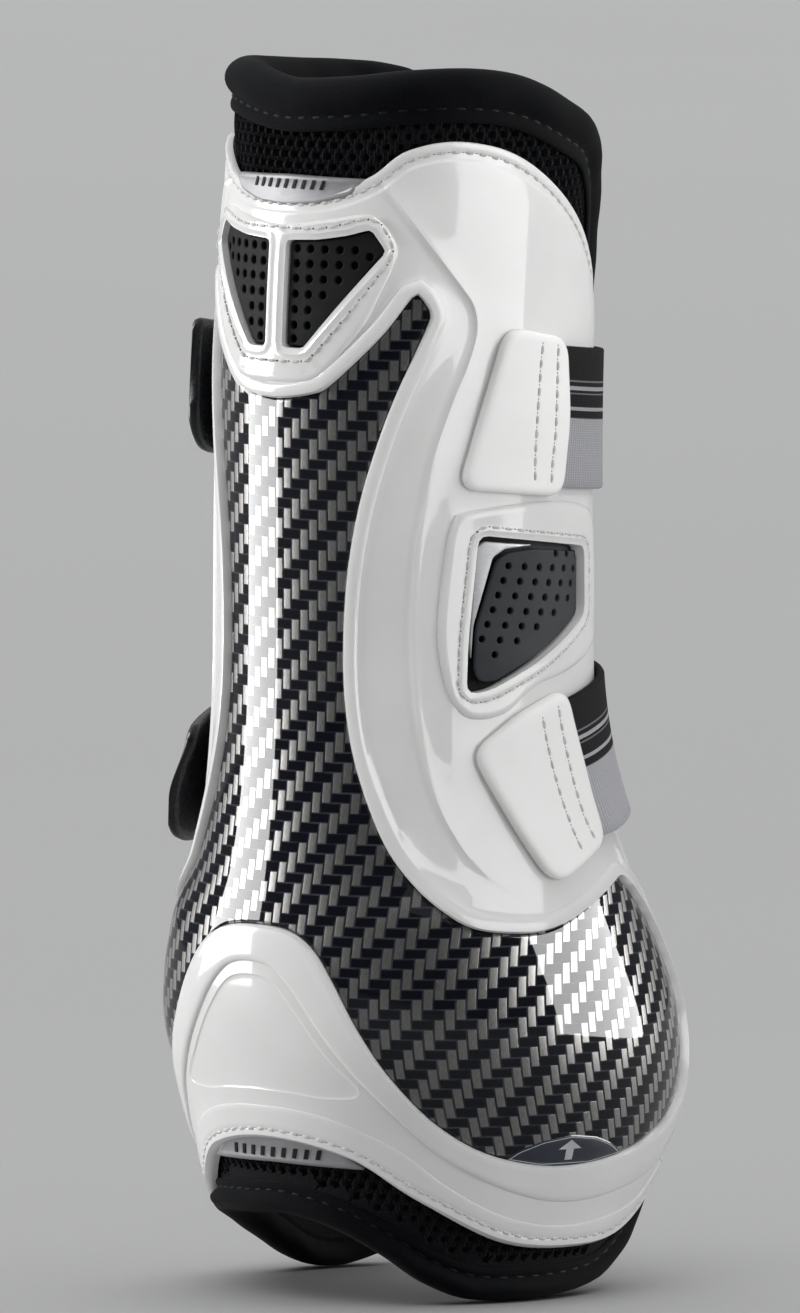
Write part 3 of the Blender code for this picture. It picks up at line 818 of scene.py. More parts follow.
def shell_rows():
    """Rows of points where the shell's face bends, so that its triangles follow every edge and groove."""
    found = rows_beside(shell_loop, (0.25, 0.8, 1.7, 2.3, 2.9, 3.6, 3.95, 4.2, 4.6))
    found += rows_beside(panel_loop, (-0.2, -0.5, -1.0, -1.7, -2.4, -2.9, -3.25, -3.5, -4.2, -4.9))
    for loop in (yoke_loop, *side_frames):
        found += rows_beside(loop, (-0.7, -0.05, 0.25, 0.7, 1.3, 2.0))
    for loop in (*rear_windows, *side_windows):
        found += rows_beside(loop, (-0.2, -0.5, -1.4, -2.1, -2.8))
    for loop in (rim_loop, hem_loop, teardrop_loop):
        found += rows_beside(loop, (-0.6, 0.0, 0.2, 0.6, 1.3))
    for ridge in ridges:
        found += rows_beside(ridge, (-2.2, -1.1, -0.45, 0.0, 0.45, 1.1, 2.2), False)
    return found


def build_shell():
    loops = [shell_loop, panel_loop, *rear_windows, *side_windows]
    shell = solid("moulded_shell", loops, shell_height, level(BACK), shell_rows(), spacing=3.0)
    finished(shell, SHELL_WHITE, replaces=["outer_shell"])


def panel_height(points):
    return PANEL_LEVEL - 0.35 * (1 - crown(depth_in(points, panel_loop) - 0.2, 0.8))


def build_panel():
    loop = inset(panel_loop, 0.2)
    rows = rows_beside(loop, (0.2, 0.5, 0.9))
    panel = solid("woven_strike_panel", [loop], panel_height, level(BACK), rows, spacing=2.6)
    finished(panel, WOVEN, replaces=["strike_panel"])


# ---------------- vents, trims, badges and the marker

# Each row of a rear vent's holes: its height, and how many holes it has
REAR_HOLES = [(239, 5), (235.6, 5), (232.2, 4), (228.7, 3), (225.2, 2), (221.7, 2), (218.6, 1)]
REAR_HOLE_START = {1: 6.6, -1: 7.8}
REAR_HOLE_PITCH = 5.05
REAR_HOLE_RADIUS = 0.97
REAR_LAST_HOLE = (31.5, 237.6)  # the single hole in the window's far corner
# The first column of each row of a side vent's holes, and the one past its last
SIDE_HOLES = [(3, 6), (0, 6), (0, 6), (0, 6), (0, 5), (0, 4), (0, 3), (1, 2)]
SIDE_HOLE_RADIUS = 0.84
SIDE_HOLE_START = (80.0, 170.35)
SIDE_HOLE_PITCH = (6.3, 0.45)
SIDE_ROW_PITCH = (1.9, 3.25)
VENT_THICKNESS = 1.1
TRIM_LEVEL = -1.35


def ring(at, radius, count=12, turn=0.0):
    """A flat circle of points."""
    angles = np.linspace(0, 2 * math.pi, count, endpoint=False) + turn
    return np.stack([at[0] + radius * np.cos(angles) / per_degree(at[1]), at[1] + radius * np.sin(angles)], 1)


def perforated(name, loop, holes, hole_radius, material):
    """A thin plate with a softened edge, and round holes with softened rims."""
    rings = [ring(at, hole_radius) for at in holes]
    rows = rows_beside(loop, (0.2, 0.5)) + [ring(at, hole_radius + 0.22)[[*range(12), 0]] for at in holes]
    middles = np.array(holes)

    def top(points):
        scale = np.stack([per_degree(points[:, 1]), np.ones(len(points))], 1)[:, None]
        step = (points[:, None] - middles[None]) * scale
        hole = np.sqrt((step**2).sum(2)).min(1) - hole_radius
        edge = depth_in(points, loop)
        return PLATE_LEVEL - 0.3 * (1 - crown(edge, 0.45)) - 0.18 * (1 - crown(hole, 0.22))

    back = level(PLATE_LEVEL - VENT_THICKNESS)
    plate = solid(f"{name}_plate", [loop, *rings], top, back, rows, spacing=2.2, clear=0.12)
    finished(plate, material, replaces=[name])


def build_vents():
    side_holes = [
        (
            SIDE_HOLE_START[0] - SIDE_ROW_PITCH[0] * row + SIDE_HOLE_PITCH[0] * column,
            SIDE_HOLE_START[1] - SIDE_ROW_PITCH[1] * row - SIDE_HOLE_PITCH[1] * column,
        )
        for row, (first, end) in enumerate(SIDE_HOLES)
        for column in range(first, end)
    ]
    for which, (word, sign) in enumerate((("right", 1), ("left", -1))):
        start = REAR_HOLE_START[sign]
        rear_holes = [(start + REAR_HOLE_PITCH * k, z) for z, count in REAR_HOLES for k in range(count)]
        rear_holes.append(REAR_LAST_HOLE)
        rear_loop = inset(rear_windows[which], 0.45)
        vent_loop, trim_loop = (
            rounded(outline if sign > 0 else flipped(outline), radius, step)
            for outline, radius, step in ((SIDE_VENT, 1.3, 1.3), (SIDE_TRIM, 0.3, 0.8))
        )
        for name, loop, holes, radius, material in (
            ("rear_vent", rear_loop, rear_holes, REAR_HOLE_RADIUS, REAR_RUBBER),
            ("side_vent", vent_loop, side_holes, SIDE_HOLE_RADIUS, SIDE_RUBBER),
        ):
            perforated(f"{name}_{word}", loop, [(sign * t, z) for t, z in holes], radius, material)
        name = f"side_trim_{word}"
        top, rows = bevelled(trim_loop, TRIM_LEVEL, 0.25, 0.4), rows_beside(trim_loop, (0.15, 0.4))
        trim = solid(f"{name}_plate", [trim_loop], top, level(BACK + 0.2), rows, spacing=1.2, clear=0.1)
        finished(trim, TRIM_SILVER, replaces=[name])
        for name, window in (("rear", rear_windows[which]), ("side", side_windows[which])):
            loop = inset(window, -0.9)
            # A near-black sheet behind the window: seen through the gap round the vent plate and through its
            # holes, it is painted shade.
            recess = solid(f"{name}_recess_{word}", [loop], level(BACK - 0.1), level(BACK - 0.6), spacing=4)
            finished(recess, SHADE_AND_TICK_BLACK)


def build_badge(name, corners):
    """A bevelled silver crescent with a shallow panel let into it."""
    loop = rounded(corners, 1.2, 0.9)

    def top(points):
        edge = depth_in(points, loop)
        return -0.75 - 0.55 * (1 - crown(edge, 0.7)) - 0.12 * smooth((edge - 1.0) / 0.25)

    rows = rows_beside(loop, (0.15, 0.4, 0.7, 1.0, 1.25))
    badge = solid(f"{name}_plate", [loop], top, level(-2.9), rows, spacing=1.6, clear=0.12)
    finished(badge, SILVER, replaces=[name])


def build_ticks(name, middle, half_height):
    """A row of slanted dark ticks, a plain decoration of the badge."""
    half_width, slant = 0.55, 0.9
    verts, faces = [], []
    for k in range(9):
        t = -14 + 3.5 * k
        low, high = middle - half_height, middle + half_height
        corners = [(t - half_width, low), (t + half_width, low)]
        corners += [(t + half_width + slant, high), (t - half_width + slant, high)]
        a = len(verts)
        verts += list(place(corners, -0.62)) + list(place(corners, -1.1))
        faces += [(a, a + 1, a + 2, a + 3), (a + 7, a + 6, a + 5, a + 4)]
        faces += [(a + (i + 1) % 4, a + i, a + i + 4, a + (i + 1) % 4 + 4) for i in range(4)]
    finished(new_mesh(name, verts, faces), SHADE_AND_TICK_BLACK)


def build_marker():
    loop = rounded(LEG_MARKER, 0.8, 1.0)
    top, rows = bevelled(loop, -0.72, 0.2, 0.3), rows_beside(loop, (0.15, 0.4))
    marker = solid("leg_marker_inlay", [loop], top, level(-1.2), rows, spacing=1.8)
    finished(marker, MARKER_NAVY, replaces=["leg_marker"])
    for name, loops, height in (
        ("leg_marker_outline", [inset(loop, 0.45), inset(loop, 0.62)], -0.68),
        ("leg_marker_arrow", [np.array(MARKER_ARROW, float)], -0.66),
    ):
        line = solid(name, loops, level(height), level(-0.9), spacing=3, clear=0.05)
        finished(line, TRIM_SILVER)


def build_badges():
    build_badge("top_badge", TOP_BADGE)
    build_badge("bottom_badge", BOTTOM_BADGE)
    build_ticks("top_badge_ticks", 253.4, 1.05)
    build_ticks("bottom_badge_ticks", 33.9, 1.15)
    build_marker()


# ---------------- stitching


def tube_faces(count, rings, sides):
    """The faces of a number of separate tubes, closed at both ends, whose points run ring by ring."""
    faces = []
    for first in range(0, count * rings * sides, rings * sides):
        last = first + (rings - 1) * sides
        for a in range(first, last, sides):
            for k in range(sides):
                b = (k + 1) % sides
                faces.append((a + k, a + b, a + b + sides, a + k + sides))
        faces.append(tuple(first + k for k in reversed(range(sides))))
        faces.append(tuple(last + k for k in range(sides)))
    return faces


STITCH_PITCH = 3.3
STITCH_LENGTH = 2.5
THREAD_RADIUS = 0.40
THREAD_SIDES = 6


def stitched(
    name, lines, height, thread, body="boot", closed=False, pitch=STITCH_PITCH, radius=THREAD_RADIUS,
    holes=0,
):
    """Stitches along flat lines that lie on a piece whose outer face is the height field: each is a short
    thread that dives into the piece at both ends. holes is the radius of the needle holes between them:
    grey plugs, whose colour is painted shade for the holes."""
    # Where a thread's rings are along its half length, how fat each is, and how far above the face
    share = np.array([-1.0, -0.8, -0.35, 0.35, 0.8, 1.0])
    fat = np.array([0.15, 0.72, 1.0, 1.0, 0.72, 0.15])
    lift = np.array([-0.35, -0.05, 0.16, 0.16, -0.05, -0.35])
    half_length = STITCH_LENGTH * pitch / STITCH_PITCH / 2
    threads, gaps = [], []
    for line in lines:
        dense = np.vstack([line, line[:1]]) if closed else np.asarray(line, float)
        along = length_along(dense)
        count = max(round(along[-1] / pitch), 1)
        middles = (np.arange(count) + 0.5) * along[-1] / count
        for steps, found in ((share * half_length, threads), (np.array([pitch / 2]), gaps)):
            at = (middles[:, None] + steps) % along[-1]
            found.append(np.stack([np.interp(at, along, dense[:, k]) for k in (0, 1)], -1))
    flat = np.vstack(threads)
    count, rings = flat.shape[:2]
    flat = flat.reshape(-1, 2)
    out = height(flat)
    path = place(flat, out + np.tile(lift, count) * radius / THREAD_RADIUS).reshape(count, rings, 3)
    outward = (place(flat, out + 1.0) - place(flat, out)).reshape(count, rings, 3)
    outward /= np.linalg.norm(outward, axis=2, keepdims=True)
    forward = np.gradient(path, axis=1)
    forward /= np.linalg.norm(forward, axis=2, keepdims=True)
    across = np.cross(forward, outward)
    turns = 2 * np.pi * np.arange(THREAD_SIDES) / THREAD_SIDES
    offset = np.cos(turns)[:, None] * across[:, :, None] + 0.8 * np.sin(turns)[:, None] * outward[:, :, None]
    verts = path[:, :, None] + radius * MM * fat[None, :, None, None] * offset
    faces = tube_faces(count, rings, THREAD_SIDES)
    finished(new_mesh(name, verts.reshape(-1, 3), faces, sharp=60), thread, body)
    # The needle holes are grey plugs that stand a little above the face: their colour is painted shade.
    if holes:
        gap = np.vstack(gaps)[:, 0]
        rims = np.vstack([ring(at, holes, 8) for at in gap])
        out = np.repeat(height(gap), 8)
        verts = np.stack([place(rims, out + rise).reshape(-1, 8, 3) for rise in (-0.3, 0.02)], 1)
        pits = new_mesh(f"{name}_holes", verts.reshape(-1, 3), tube_faces(len(gap), 2, 8))
        finished(pits, NEEDLE_HOLE_SHADE, body)


YOKE_SEAM = [
    (0, 243.7), (12, 243.7), (20, 244.4), (26.5, 245.8), (31, 246.2), (34.6, 245.2), (37.2, 242.4),
    (38.8, 239.8), (38.2, 237.2), (34.5, 233.2), (25, 223.8), (15, 215.2), (11.5, 213.8), (6, 213.6),
    (0, 213.6),
]
yoke_seam_loop = curve(mirrored(YOKE_SEAM), 1.6)


def build_shell_stitching():
    edge = inset(shell_loop, SEAM_INSET)
    around_vents = [yoke_seam_loop, *[inset(loop, -WINDOW_SEAM) for loop in side_windows]]
    for name, lines, radius, holes in (
        ("shell_edge_stitching", [edge], THREAD_RADIUS, 0.34),
        ("vent_stitching", around_vents, 0.34, 0.24),
    ):
        stitched(
            name, lines, shell_height, WHITE_THREAD, closed=True, radius=radius, holes=holes
        )


# ---------------- the spacer mesh, the lining and the binding

MESH_LEVEL = -3.1
MESH_BACK = -5.2
CELL = (3.4, 2.45)  # mm from one hole of the mesh to the next, round and up
CELL_RINGS = [(1.22, 0.0), (0.92, -0.55), (0.66, -1.45)]  # radius and depth
CELL_FLOOR = -1.7
LINING_LEVEL = (-5.8, -8.6)
TENDON_PAD = [(0, 236), (18, 233), (30, 222), (34, 200), (34, 150), (30, 118), (18, 108), (0, 105)]
FETLOCK_PAD = [(0, 98), (26, 95), (42, 82), (44, 66), (34, 52), (18, 46), (0, 45)]
SIDE_PAD = [
    (52, 232), (70, 238), (92, 234), (108, 222), (118, 200), (120, 160), (118, 118), (104, 96), (84, 92),
    (64, 100), (52, 118), (47, 150), (47, 200),
]
LOW_PAD = [
    (58, 84), (84, 82), (110, 84), (124, 72), (126, 52), (112, 34), (88, 27), (66, 30), (54, 44), (50, 64),
]

# The binding's edge
boot_loop = curve(BOOT_EDGE + BOOT_FAR_EDGE[::-1], 1.25)
liner_loop = inset(curve(BOOT_EDGE + BOOT_FAR_EDGE[::-1], 5.0), 2.5)  # the edge of the layers it covers


def mesh_cells():
    """The middles of the spacer mesh's holes, where they show beyond the shell."""
    rows = np.arange(0, 290 / CELL[1]).astype(int)
    columns = np.arange(-60, 61)
    j, i = np.meshgrid(rows, columns, indexing="ij")
    z = j * CELL[1]
    t = (i + 0.5 * (j % 2)) * CELL[0] / per_degree(z)
    cells = np.stack([t, z], -1).reshape(-1, 2)
    shown = depth_in(cells, shell_loop) < 1.5
    return cells[shown & (depth_in(cells, liner_loop) > 6.5)]


def build_spacer_mesh():
    cells = mesh_cells()
    tree = near_tree(cells)
    rings = [
        ring(cell, radius, 6, math.pi / 6 * k) for cell in cells for k, (radius, _) in enumerate(CELL_RINGS)
    ]
    radii, depths = zip((0.0, CELL_FLOOR), *reversed(CELL_RINGS), strict=True)

    def top(points):
        found = np.empty(len(points))
        for i, (t, z) in enumerate(points):
            near, _, _ = tree.find((t * FLAT_SCALE, z, 0))
            reach = math.hypot((t - near[0] / FLAT_SCALE) * per_degree(z), z - near[1])
            found[i] = np.interp(reach, radii, depths)
        return MESH_LEVEL + found

    dots = np.vstack([*rings, cells])

    mesh = solid("spacer_mesh_cover", [liner_loop], top, level(MESH_BACK), dots=dots, spacing=3.2, clear=0.3)
    finished(mesh, MESH_BLACK, replaces=["spacer_mesh"])


def build_lining():
    """The inside face: a knit lining over foam pads that swell towards the leg."""
    middle_pads = [mirrored(TENDON_PAD), mirrored(FETLOCK_PAD)]
    side_pads = [SIDE_PAD, flipped(SIDE_PAD), LOW_PAD, flipped(LOW_PAD)]
    pads = [curve(outline, 3) for outline in middle_pads + side_pads]

    def leg_face(points):
        swell = sum(np.maximum(depth_in(points, loop, 12), 0) for loop in pads)
        return LINING_LEVEL[1] + 0.9 - 2.6 * crown(swell, 12)

    rows = [row for loop in pads for row in rows_beside(loop, (0.0, 0.5, 1.3, 2.6, 4.5, 7.0))]
    lining = solid("padded_lining", [liner_loop], level(LINING_LEVEL[0]), leg_face, rows, spacing=4.5)
    finished(lining, LINING_BLACK, replaces=["inner_lining", "tendon_pad", "fetlock_pad"])


# Distances in from the boot's edge, and outward: from the lip outside, over the edge, to the inside
BINDING_PROFILE = [
    (12.2, -3.2), (12.3, -2.4), (11.2, -1.9), (9.8, -1.9), (9.0, -2.5), (8.3, -2.1), (7.0, -0.7),
    (5.2, 0.1), (3.2, -0.1), (1.4, -1.3), (0.3, -3.3), (0.0, -5.4), (0.5, -7.4), (1.9, -9.1), (4.0, -10.0),
    (6.2, -9.9), (8.0, -9.0), (9.0, -8.2), (10.0, -8.7), (11.4, -8.8), (11.6, -7.9), (9.2, -6.8),
    (7.6, -5.4), (9.4, -4.0),
]
BINDING_SEAM = 9.0
BINDING_SEAM_LEVEL = -2.45
BINDING_PITCH = 4.4


def soft_noise(u, v, seed):
    """A smooth wandering value between about -1 and 1, the same each run."""
    draw = np.random.default_rng(seed)
    found = 0.0
    for _ in range(7):
        fu, fv = draw.uniform(0.05, 0.45), draw.uniform(0.1, 0.7)
        found = found + np.sin(fu * u + fv * v + draw.uniform(0, 6.28)) / 3.2
    return found


def binding_width(z):
    """How wide the binding is at a height, as a share of its profile: narrower at the bottom."""
    return 0.62 + 0.38 * smooth((z - 45) / 90)


def beside_edge(distance):
    """The boot's edge moved inward by a distance in the binding's profile."""
    return shifted(boot_loop, (distance * binding_width(boot_loop[:, 1]) * turning(boot_loop))[:, None])


def build_binding():
    """One soft strip rolled over the boot's whole edge: a padded roll, pinched at its row of stitches."""
    profile = np.array(BINDING_PROFILE)
    along = length_along(np.vstack([boot_loop, boot_loop[:1]]))[:-1]
    across = np.concatenate([[0], np.cumsum(np.hypot(*np.diff(profile, axis=0).T))])
    verts, flat = [], []
    for (inward, out), v in zip(profile, across, strict=True):
        v = np.full(len(along), v)
        swell = 0.25 * soft_noise(along, v, 5) * bump_at(inward, 3.5, 4.5)
        pucker = 0.1 * np.cos(2 * math.pi * along / BINDING_PITCH) * bump_at(inward, 8.4, 1.0)
        side = 1.0 if out > -5 else -1.0
        verts.append(place(beside_edge(inward), out + side * (swell + pucker)))
        flat.append(np.stack([along, v], 1))
    count, n = len(profile), len(boot_loop)
    faces = [
        (j * n + i, j * n + (i + 1) % n, (j + 1) % count * n + (i + 1) % n, (j + 1) % count * n + i)
        for j in range(count)
        for i in range(n)
    ]
    if turning(boot_loop) > 0:
        faces = [face[::-1] for face in faces]
    binding = new_mesh("edge_binding", np.vstack(verts), faces, np.vstack(flat), sharp=80)
    smoothing = binding.modifiers.new("smooth", "SUBSURF")
    smoothing.levels = smoothing.render_levels = 1
    nodes = ["top_binding", "bottom_binding", "front_binding_right", "front_binding_left"]
    finished(binding, BINDING_BLACK, replaces=nodes)
    seam, height = [beside_edge(BINDING_SEAM)], level(BINDING_SEAM_LEVEL)
    stitched(
        "binding_stitching", seam, height, BLACK_THREAD, closed=True, pitch=BINDING_PITCH,
        radius=0.34,
    )


# ---------------- straps


def strap_height(strap, t):
    share = (t - FRONT) / (FRONT - strap["hinge"])
    return strap["height"] + strap["rise"] * (1 - share * share)


def strap_station(strap, t, w):
    """The flat place at angle t on a strap's centreline and w mm up across it."""
    t, w = np.asarray(t, float), np.asarray(w, float)
    z = strap_height(strap, t)
    slope = (strap_height(strap, t + 0.5) - strap_height(strap, t - 0.5)) / per_degree(z)
    reach = np.hypot(slope, 1)
    return np.stack([t - slope / reach * w / per_degree(z), z + w / reach], -1)


def strap_lines(strap, spans, count):
    """Straight lines on a strap, each from one angle to another and from one place across to another."""
    return [
        strap_station(strap, np.linspace(t1, t2, count), np.linspace(w1, w2, count))
        for t1, t2, w1, w2 in spans
    ]


def strap_level(strap, t, w):
    """The inner face of a strap. It climbs from 150 to 235 degrees, to lie over the fastening, and the
    lower strap's edge stands off from 96 to 190 degrees, where the leg widens under it."""
    climb = STRAP_CLEARANCE + (PULL_INNER - STRAP_CLEARANCE) * smooth((t - 150) / 85)
    splay = strap["splay"] * np.clip(0.5 - w / STRAP_WIDTH, 0, 1) ** 1.4
    return climb + splay * smooth((t - 96) / 14) * smooth((190 - t) / 40)


def ribbon(name, strap, angles, half_width, inner, thickness, edge_radius, columns=12, corners=(0, 0)):
    """A strip along a strap with rounded long edges. inner(t, w) is its inner face. corners are the radii
    of the upper and lower corners at its far end, in mm. A strip with large edges thins out at its ends."""
    z = strap_height(strap, angles)
    along = np.concatenate([[0], np.cumsum(np.diff(angles) * per_degree((z[1:] + z[:-1]) / 2))])
    left = along[-1] - along

    def border(side, radius):
        cut = np.clip(radius - left, 0, radius)
        return side * (half_width - radius + np.sqrt(np.maximum(radius**2 - cut**2, 0.0)))

    low, high = border(-1, corners[1]), border(1, corners[0])
    r = edge_radius
    arc = np.linspace(-math.pi / 2, math.pi / 2, 5)[1:-1]
    up_edge = 0.5 + 0.5 * np.sin(arc)  # how far up through the thickness a rounded edge's points are
    share = np.concatenate([np.zeros(columns), up_edge, np.ones(columns), up_edge[::-1]])
    rings, flats = [], []
    for k, t in enumerate(angles):
        to_end = min(left[k], along[k])
        thins = r > 1 and to_end < 0.75 * r
        thick = thickness * crown(np.array(to_end + 0.35), r).item() if thins else thickness
        across = low[k] + r + np.linspace(0, 1, columns) * (high[k] - low[k] - 2 * r)
        high_edge = high[k] - r + r * np.cos(arc)
        low_edge = low[k] + r - r * np.cos(arc)
        w = np.concatenate([across, high_edge, across[::-1], low_edge])
        stations = np.full(len(w), t)
        out = inner(stations, w) + (thickness - thick) / 2 + share * thick
        rings.append(place(strap_station(strap, stations, w), out))
        flats.append(np.stack([np.full(len(w), along[k]), w + HALF_STRAP], 1))
    faces = [face[::-1] for face in tube_faces(1, len(rings), len(share))]
    return new_mesh(name, np.vstack(rings), faces, np.vstack(flats), sharp=50)


TAB_TOP = 3.3
TAB_ROUND = 1.8
TAB_GROOVE = 0.12
TAPE_REACH = 18.0  # degrees of the end tape before the line where the pull tab peels, on the strap
TAPE_REACH_PAST = 16.0  # and past that line, on the pull grip
TAPE_THICKNESS = 0.9
PULL_THICKNESS = 2.6
PULL_ROUND = 1.2


def tab_stitch_lines(strap):
    """Two rows of stitches across a sewn tab, parallel to its front edge."""
    if strap["word"] == "upper":
        return [
            curve([(86.1, 217.6), (85.6, 209.4), (84.9, 201), (84.3, 193), (83.9, 186)], 1.5, False),
            curve([(92.3, 216.8), (92.5, 209), (92.2, 198), (91, 191), (90.2, 185.2)], 1.5, False),
        ]
    return [
        curve([(85.9, 132.7), (89.4, 118.3), (92.3, 108.4), (94.3, 102)], 1.5, False),
        curve([(92.3, 134.8), (95.8, 120.3), (98.2, 110.9), (100.8, 104)], 1.5, False),
    ]


def build_tab(strap, corners):
    word = strap["word"]
    loop = rounded(corners, 5.0, 1.4)
    lines = tab_stitch_lines(strap)

    def top(points):
        edge = depth_in(points, loop)
        found = TAB_TOP - TAB_ROUND * (1 - crown(edge, TAB_ROUND)) - 0.25 * smooth((edge - 2.2) / 6)
        for line in lines:
            found = found - TAB_GROOVE * bump_at(spread(points, line, False), 0, 0.5)
        return found

    rows = rows_beside(loop, (0.12, 0.4, 0.8, 1.3, 1.9, 2.6))
    for line in lines:
        rows += rows_beside(line, (-1.1, -0.5, 0.0, 0.5, 1.1), False)

    def underside(points):
        return 0.02 + 0.75 * (1 - crown(depth_in(points, loop), 0.9))

    tab = solid(f"{word}_sewn_tab", [loop], top, underside, rows, spacing=2.4)
    finished(tab, SHELL_WHITE, replaces=[f"{word}_strap_tab"])
    stitched(f"{word}_tab_stitching", lines, top, WHITE_THREAD, holes=0.22)


def joined(piece):
    """Bakes a piece's place into its mesh."""
    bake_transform(piece)


def build_strap(strap):
    """The woven strap from under its tab, and the tape on it where the pull tab peels."""
    word, hinge = strap["word"], strap["hinge"]
    body, end_body = f"{word}_strap", f"{word}_strap_end"

    def face(t, w):
        return strap_level(strap, t, w)

    last = PEEL_ANGLE - 2.2
    bend_end = hinge + BEND_REACH
    close = np.arange(hinge - ROOT_REACH, bend_end, 0.8)
    angles = np.concatenate([close, np.arange(bend_end, last, 2.2), [last]])
    web = ribbon(f"{word}_strap_webbing", strap, angles, HALF_STRAP, face, STRAP_THICKNESS, 0.6, 14)
    finished(web, WEBBING, None, [body, f"{word}_strap_root"])
    joined(web)

    def tape_face(t, w):
        return face(t, w) + STRAP_THICKNESS + 0.05

    def tape_top(points):
        return tape_face(points[:, 0], np.zeros(len(points))) + TAPE_THICKNESS + 0.02

    angles = np.arange(PEEL_ANGLE - TAPE_REACH, PEEL_ANGLE + TAPE_REACH_PAST, 1.0)
    tape = ribbon(f"{word}_end_tape", strap, angles, HALF_STRAP - 0.6, tape_face, TAPE_THICKNESS, 0.3)
    finished(tape, TAPE_BLACK, None)
    joined(tape)
    a, b, w = PEEL_ANGLE - 16.5, PEEL_ANGLE - 6, HALF_STRAP - 2.6
    box = strap_lines(strap, [(a, a, -w, w), (b, b, -w, w), (a, b, w, w), (a, b, -w, -w)], 8)
    stitched(f"{word}_tape_stitching", box, tape_top, BLACK_THREAD, body, radius=0.3)


def build_fastening(strap):
    """The pull grip with hooks under it, and the pad of loops on the shell that they hold."""
    word = strap["word"]
    body = f"{word}_strap_end"

    def pull_face(t, w):
        past = np.clip((t - FLARE_START) / (PULL_END - FLARE_START), 0, 1) ** 2
        shape = 1 - strap["top_droop"] * smooth((w + 2) / 16) - 0.012 * (HALF_STRAP - w)
        return PULL_INNER + strap["flare"] * past * shape

    tip = PULL_END - 8  # the points are closer together from here, for the rounded end
    angles = np.concatenate([np.arange(PEEL_ANGLE + 2, tip, 1.6), np.linspace(tip, PULL_END, 14)])
    pull = ribbon(
        f"{word}_pull_grip", strap, angles, HALF_STRAP - 1, pull_face, PULL_THICKNESS, PULL_ROUND, 14,
        strap["corners"],
    )
    finished(pull, PULL_BLACK, body, [f"{word}_pull_tab"])

    def strip(name, first, last, half_width, distance, thickness):
        def inner(t, w):
            return np.full(len(t), distance)

        return ribbon(f"{word}_{name}", strap, np.arange(first, last, 2.0), half_width, inner, thickness, 0.3)

    hook = strip("hook_tape", PEEL_ANGLE + 5, FLARE_START + 3, HALF_STRAP - 4, 1.55, 1.0)
    finished(hook, HOOKS, body, [f"{word}_hook_patch"])
    pad = strip("loop_tape", PEEL_ANGLE - 2, FLARE_START + 6, HALF_STRAP, 0.3, 0.9)
    finished(pad, LOOP_FELT, replaces=[f"{word}_loop_pad"])
    a, b, w = PEEL_ANGLE - 1, FLARE_START + 4, HALF_STRAP - 1.6
    border = strap_lines(strap, [(a, b, w, w), (a, b, -w, -w), (b, b, -w, w)], 12)
    stitched(f"{word}_loop_stitching", border, level(1.2), BLACK_THREAD, radius=0.3)


# ---------------- the stage


CAMERA_VIEW = (43.0, 5.5)  # azimuth and elevation
CAMERA_DISTANCE = 8.0
VIEW_HEIGHT = 0.2978  # metres from the top of the picture to its bottom, at the boot
TARGET_HEIGHT = 0.1433
TARGET_SIDEWAYS = 0.0009  # how far the camera aims to the left of the boot's middle
LIGHT_TARGET = Vector((0, 0, 0.14))
FLOOR_RADIUS = 60.0
FLOOR_LEVEL = -0.0002
FLOOR_SIDES = 48

# Each light's azimuth and elevation in degrees, its distance, width and height in metres, and its power.
# A gloss light gives nothing but reflections, and a fill light gives everything but reflections.
GLOSS_LIGHTS = {
    "strip_left": (-54, 8, 1.1, 0.57, 1.3, 46.0),
    "softbox_right": (136, 3, 1.0, 0.80, 1.3, 52.0),
    "shell_gloss": (97, 8, 1.0, 0.86, 1.1, 27.0),
}
FILL_LIGHTS = {
    "right_fill": (98, 13, 1.7, 1.4, 0.7, 8.6),
    "left_fill": (-48, 11, 1.7, 1.3, 0.5, 22.0),
    "tab_fill": (85, 10, 1.0, 0.5, 0.4, 1.8),
    "upper_fill": (110, 30, 0.4, 0.12, 0.08, 0.028),
}


def direction(azimuth, elevation):
    """The way to a place round the boot: azimuth 0 is behind its tendon and 90 is on its right."""
    a, e = math.radians(azimuth), math.radians(elevation)
    return Vector((math.sin(a) * math.cos(e), -math.cos(a) * math.cos(e), math.sin(e)))


def build_camera():
    """A long lens on the boot's right rear side, a little above the boot's middle."""
    back = direction(*CAMERA_VIEW)
    azimuth = math.radians(CAMERA_VIEW[0])
    sideways = Vector((math.cos(azimuth), math.sin(azimuth), 0))
    target = Vector((0, -BOX_MIDDLE * MM, TARGET_HEIGHT)) - sideways * TARGET_SIDEWAYS
    data = bpy.data.cameras.new("camera")
    data.sensor_width = 36.0
    data.lens = data.sensor_width * CAMERA_DISTANCE / VIEW_HEIGHT
    data.clip_end = 100.0
    camera = bpy.data.objects.new("camera", data)
    camera.location = target + back * CAMERA_DISTANCE
    camera.rotation_mode = "QUATERNION"
    camera.rotation_quaternion = (-back).to_track_quat("-Z", "Y")
    bpy.context.scene.collection.objects.link(camera)
    bpy.context.scene.camera = camera


def softbox(name, azimuth, elevation, distance, width, height, power):
    """A rectangular light that faces the boot's middle."""
    back = direction(azimuth, elevation)
    data = bpy.data.lights.new(name, "AREA")
    data.shape, data.size, data.size_y = "RECTANGLE", width, height
    data.energy = power
    light = bpy.data.objects.new(name, data)
    light.location = LIGHT_TARGET + back * distance
    light.rotation_mode = "QUATERNION"
    light.rotation_quaternion = back.to_track_quat("Z", "Y")
    bpy.context.scene.collection.objects.link(light)
    return light


def light_only(name, receivers, state):
    """Keeps a light for some objects only, with INCLUDE, or keeps it off them, with EXCLUDE."""
    group = bpy.data.collections.new(f"{name}_receivers")
    for k, receiver in enumerate(receivers):
        group.objects.link(receiver)
        group.collection_objects[k].light_linking.link_state = state
    bpy.data.objects[name].light_linking.receiver_collection = group


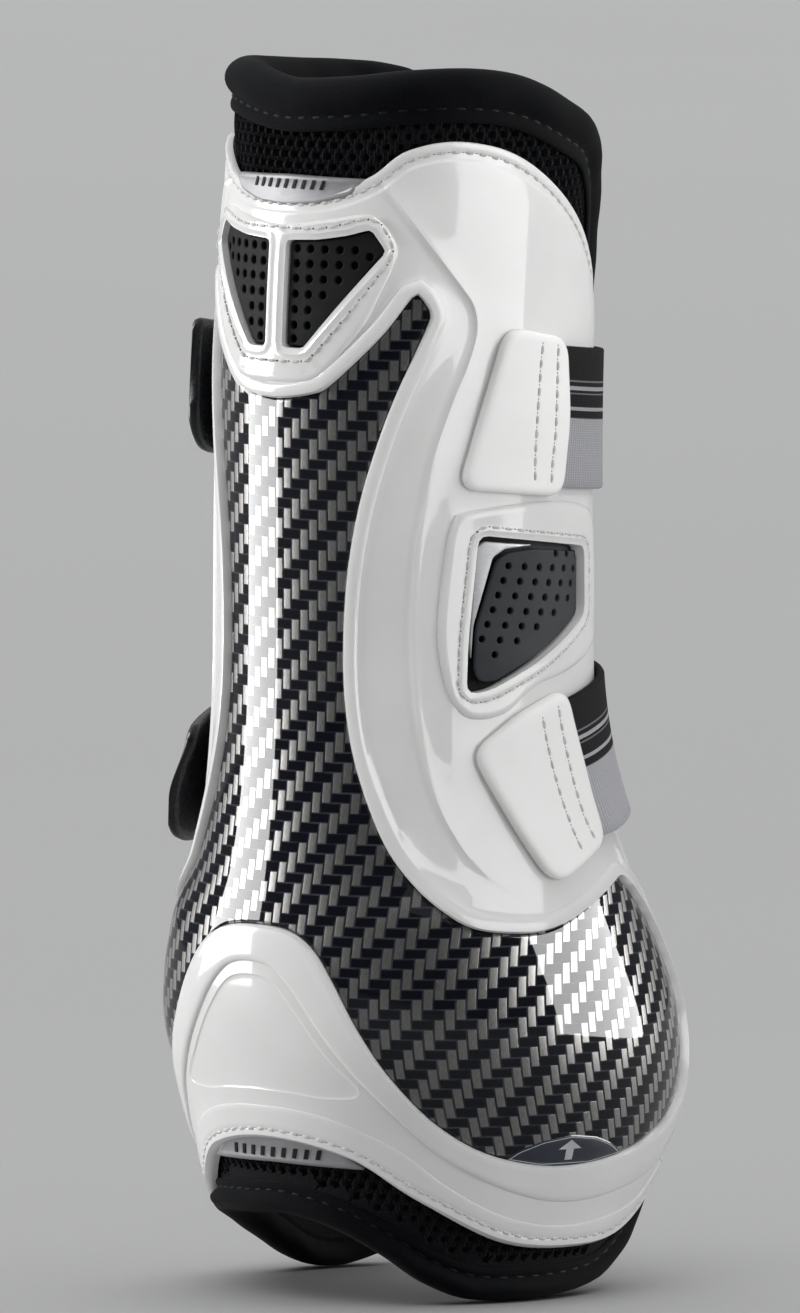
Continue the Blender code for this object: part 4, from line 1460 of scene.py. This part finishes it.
def build_floor():
    turns = 2 * math.pi * np.arange(FLOOR_SIDES) / FLOOR_SIDES
    rim = [(FLOOR_RADIUS * math.cos(turn), FLOOR_RADIUS * math.sin(turn), FLOOR_LEVEL) for turn in turns]
    faces = [(0, 1 + k, 1 + (k + 1) % FLOOR_SIDES) for k in range(FLOOR_SIDES)]
    floor = new_mesh("floor", [(0, 0, FLOOR_LEVEL), *rim], faces)
    n = Nodes("floor_grey")
    n.set(Base_Color=n.mix(n.noise(3, 2), (0.60, 0.60, 0.60), (0.62, 0.62, 0.62)))
    n.set(Roughness=0.9, Specular_IOR_Level=0.1)
    floor.data.materials.append(n.material)
    return floor


def build_lights(floor):
    world = bpy.data.worlds.new("studio")
    world.use_nodes = True
    background = world.node_tree.nodes["Background"]
    background.inputs["Color"].default_value = (0.96, 0.98, 1.0, 1)
    background.inputs["Strength"].default_value = 0.17
    bpy.context.scene.world = world
    bpy.context.scene.view_settings.view_transform = "Standard"
    for name, numbers in GLOSS_LIGHTS.items():
        softbox(name, *numbers).visible_diffuse = False
    for name, numbers in FILL_LIGHTS.items():
        softbox(name, *numbers).visible_glossy = False
    upper = bpy.data.objects["upper_fill"]
    upper.location.z += 0.11
    upper.data.spread = math.radians(40)
    softbox("top_fill", 40, 62, 1.4, 1.6, 1.2, 3.5)
    behind = softbox("backdrop_light", 214, 43, 8.8, 16.0, 16.0, 765.0)
    behind.rotation_quaternion = Quaternion((0, 0, 1), math.radians(43))  # it faces straight down
    whites = [bpy.data.objects[name] for name in ("moulded_shell", "upper_sewn_tab", "lower_sewn_tab")]
    light_only("tab_fill", whites[1:], "INCLUDE")
    light_only("upper_fill", whites, "INCLUDE")
    light_only("shell_gloss", whites[:1], "INCLUDE")
    light_only("softbox_right", [*whites, floor], "EXCLUDE")
    for name in ("strip_left", "right_fill", "left_fill"):
        light_only(name, [floor], "EXCLUDE")


build_shell()
build_panel()
build_vents()
build_badges()
build_shell_stitching()
build_spacer_mesh()
build_lining()
build_binding()
for strap, corners in ((UPPER, UPPER_TAB), (LOWER, LOWER_TAB)):
    build_tab(strap, corners)
    build_strap(strap)
    build_fastening(strap)
build_camera()
build_lights(build_floor())
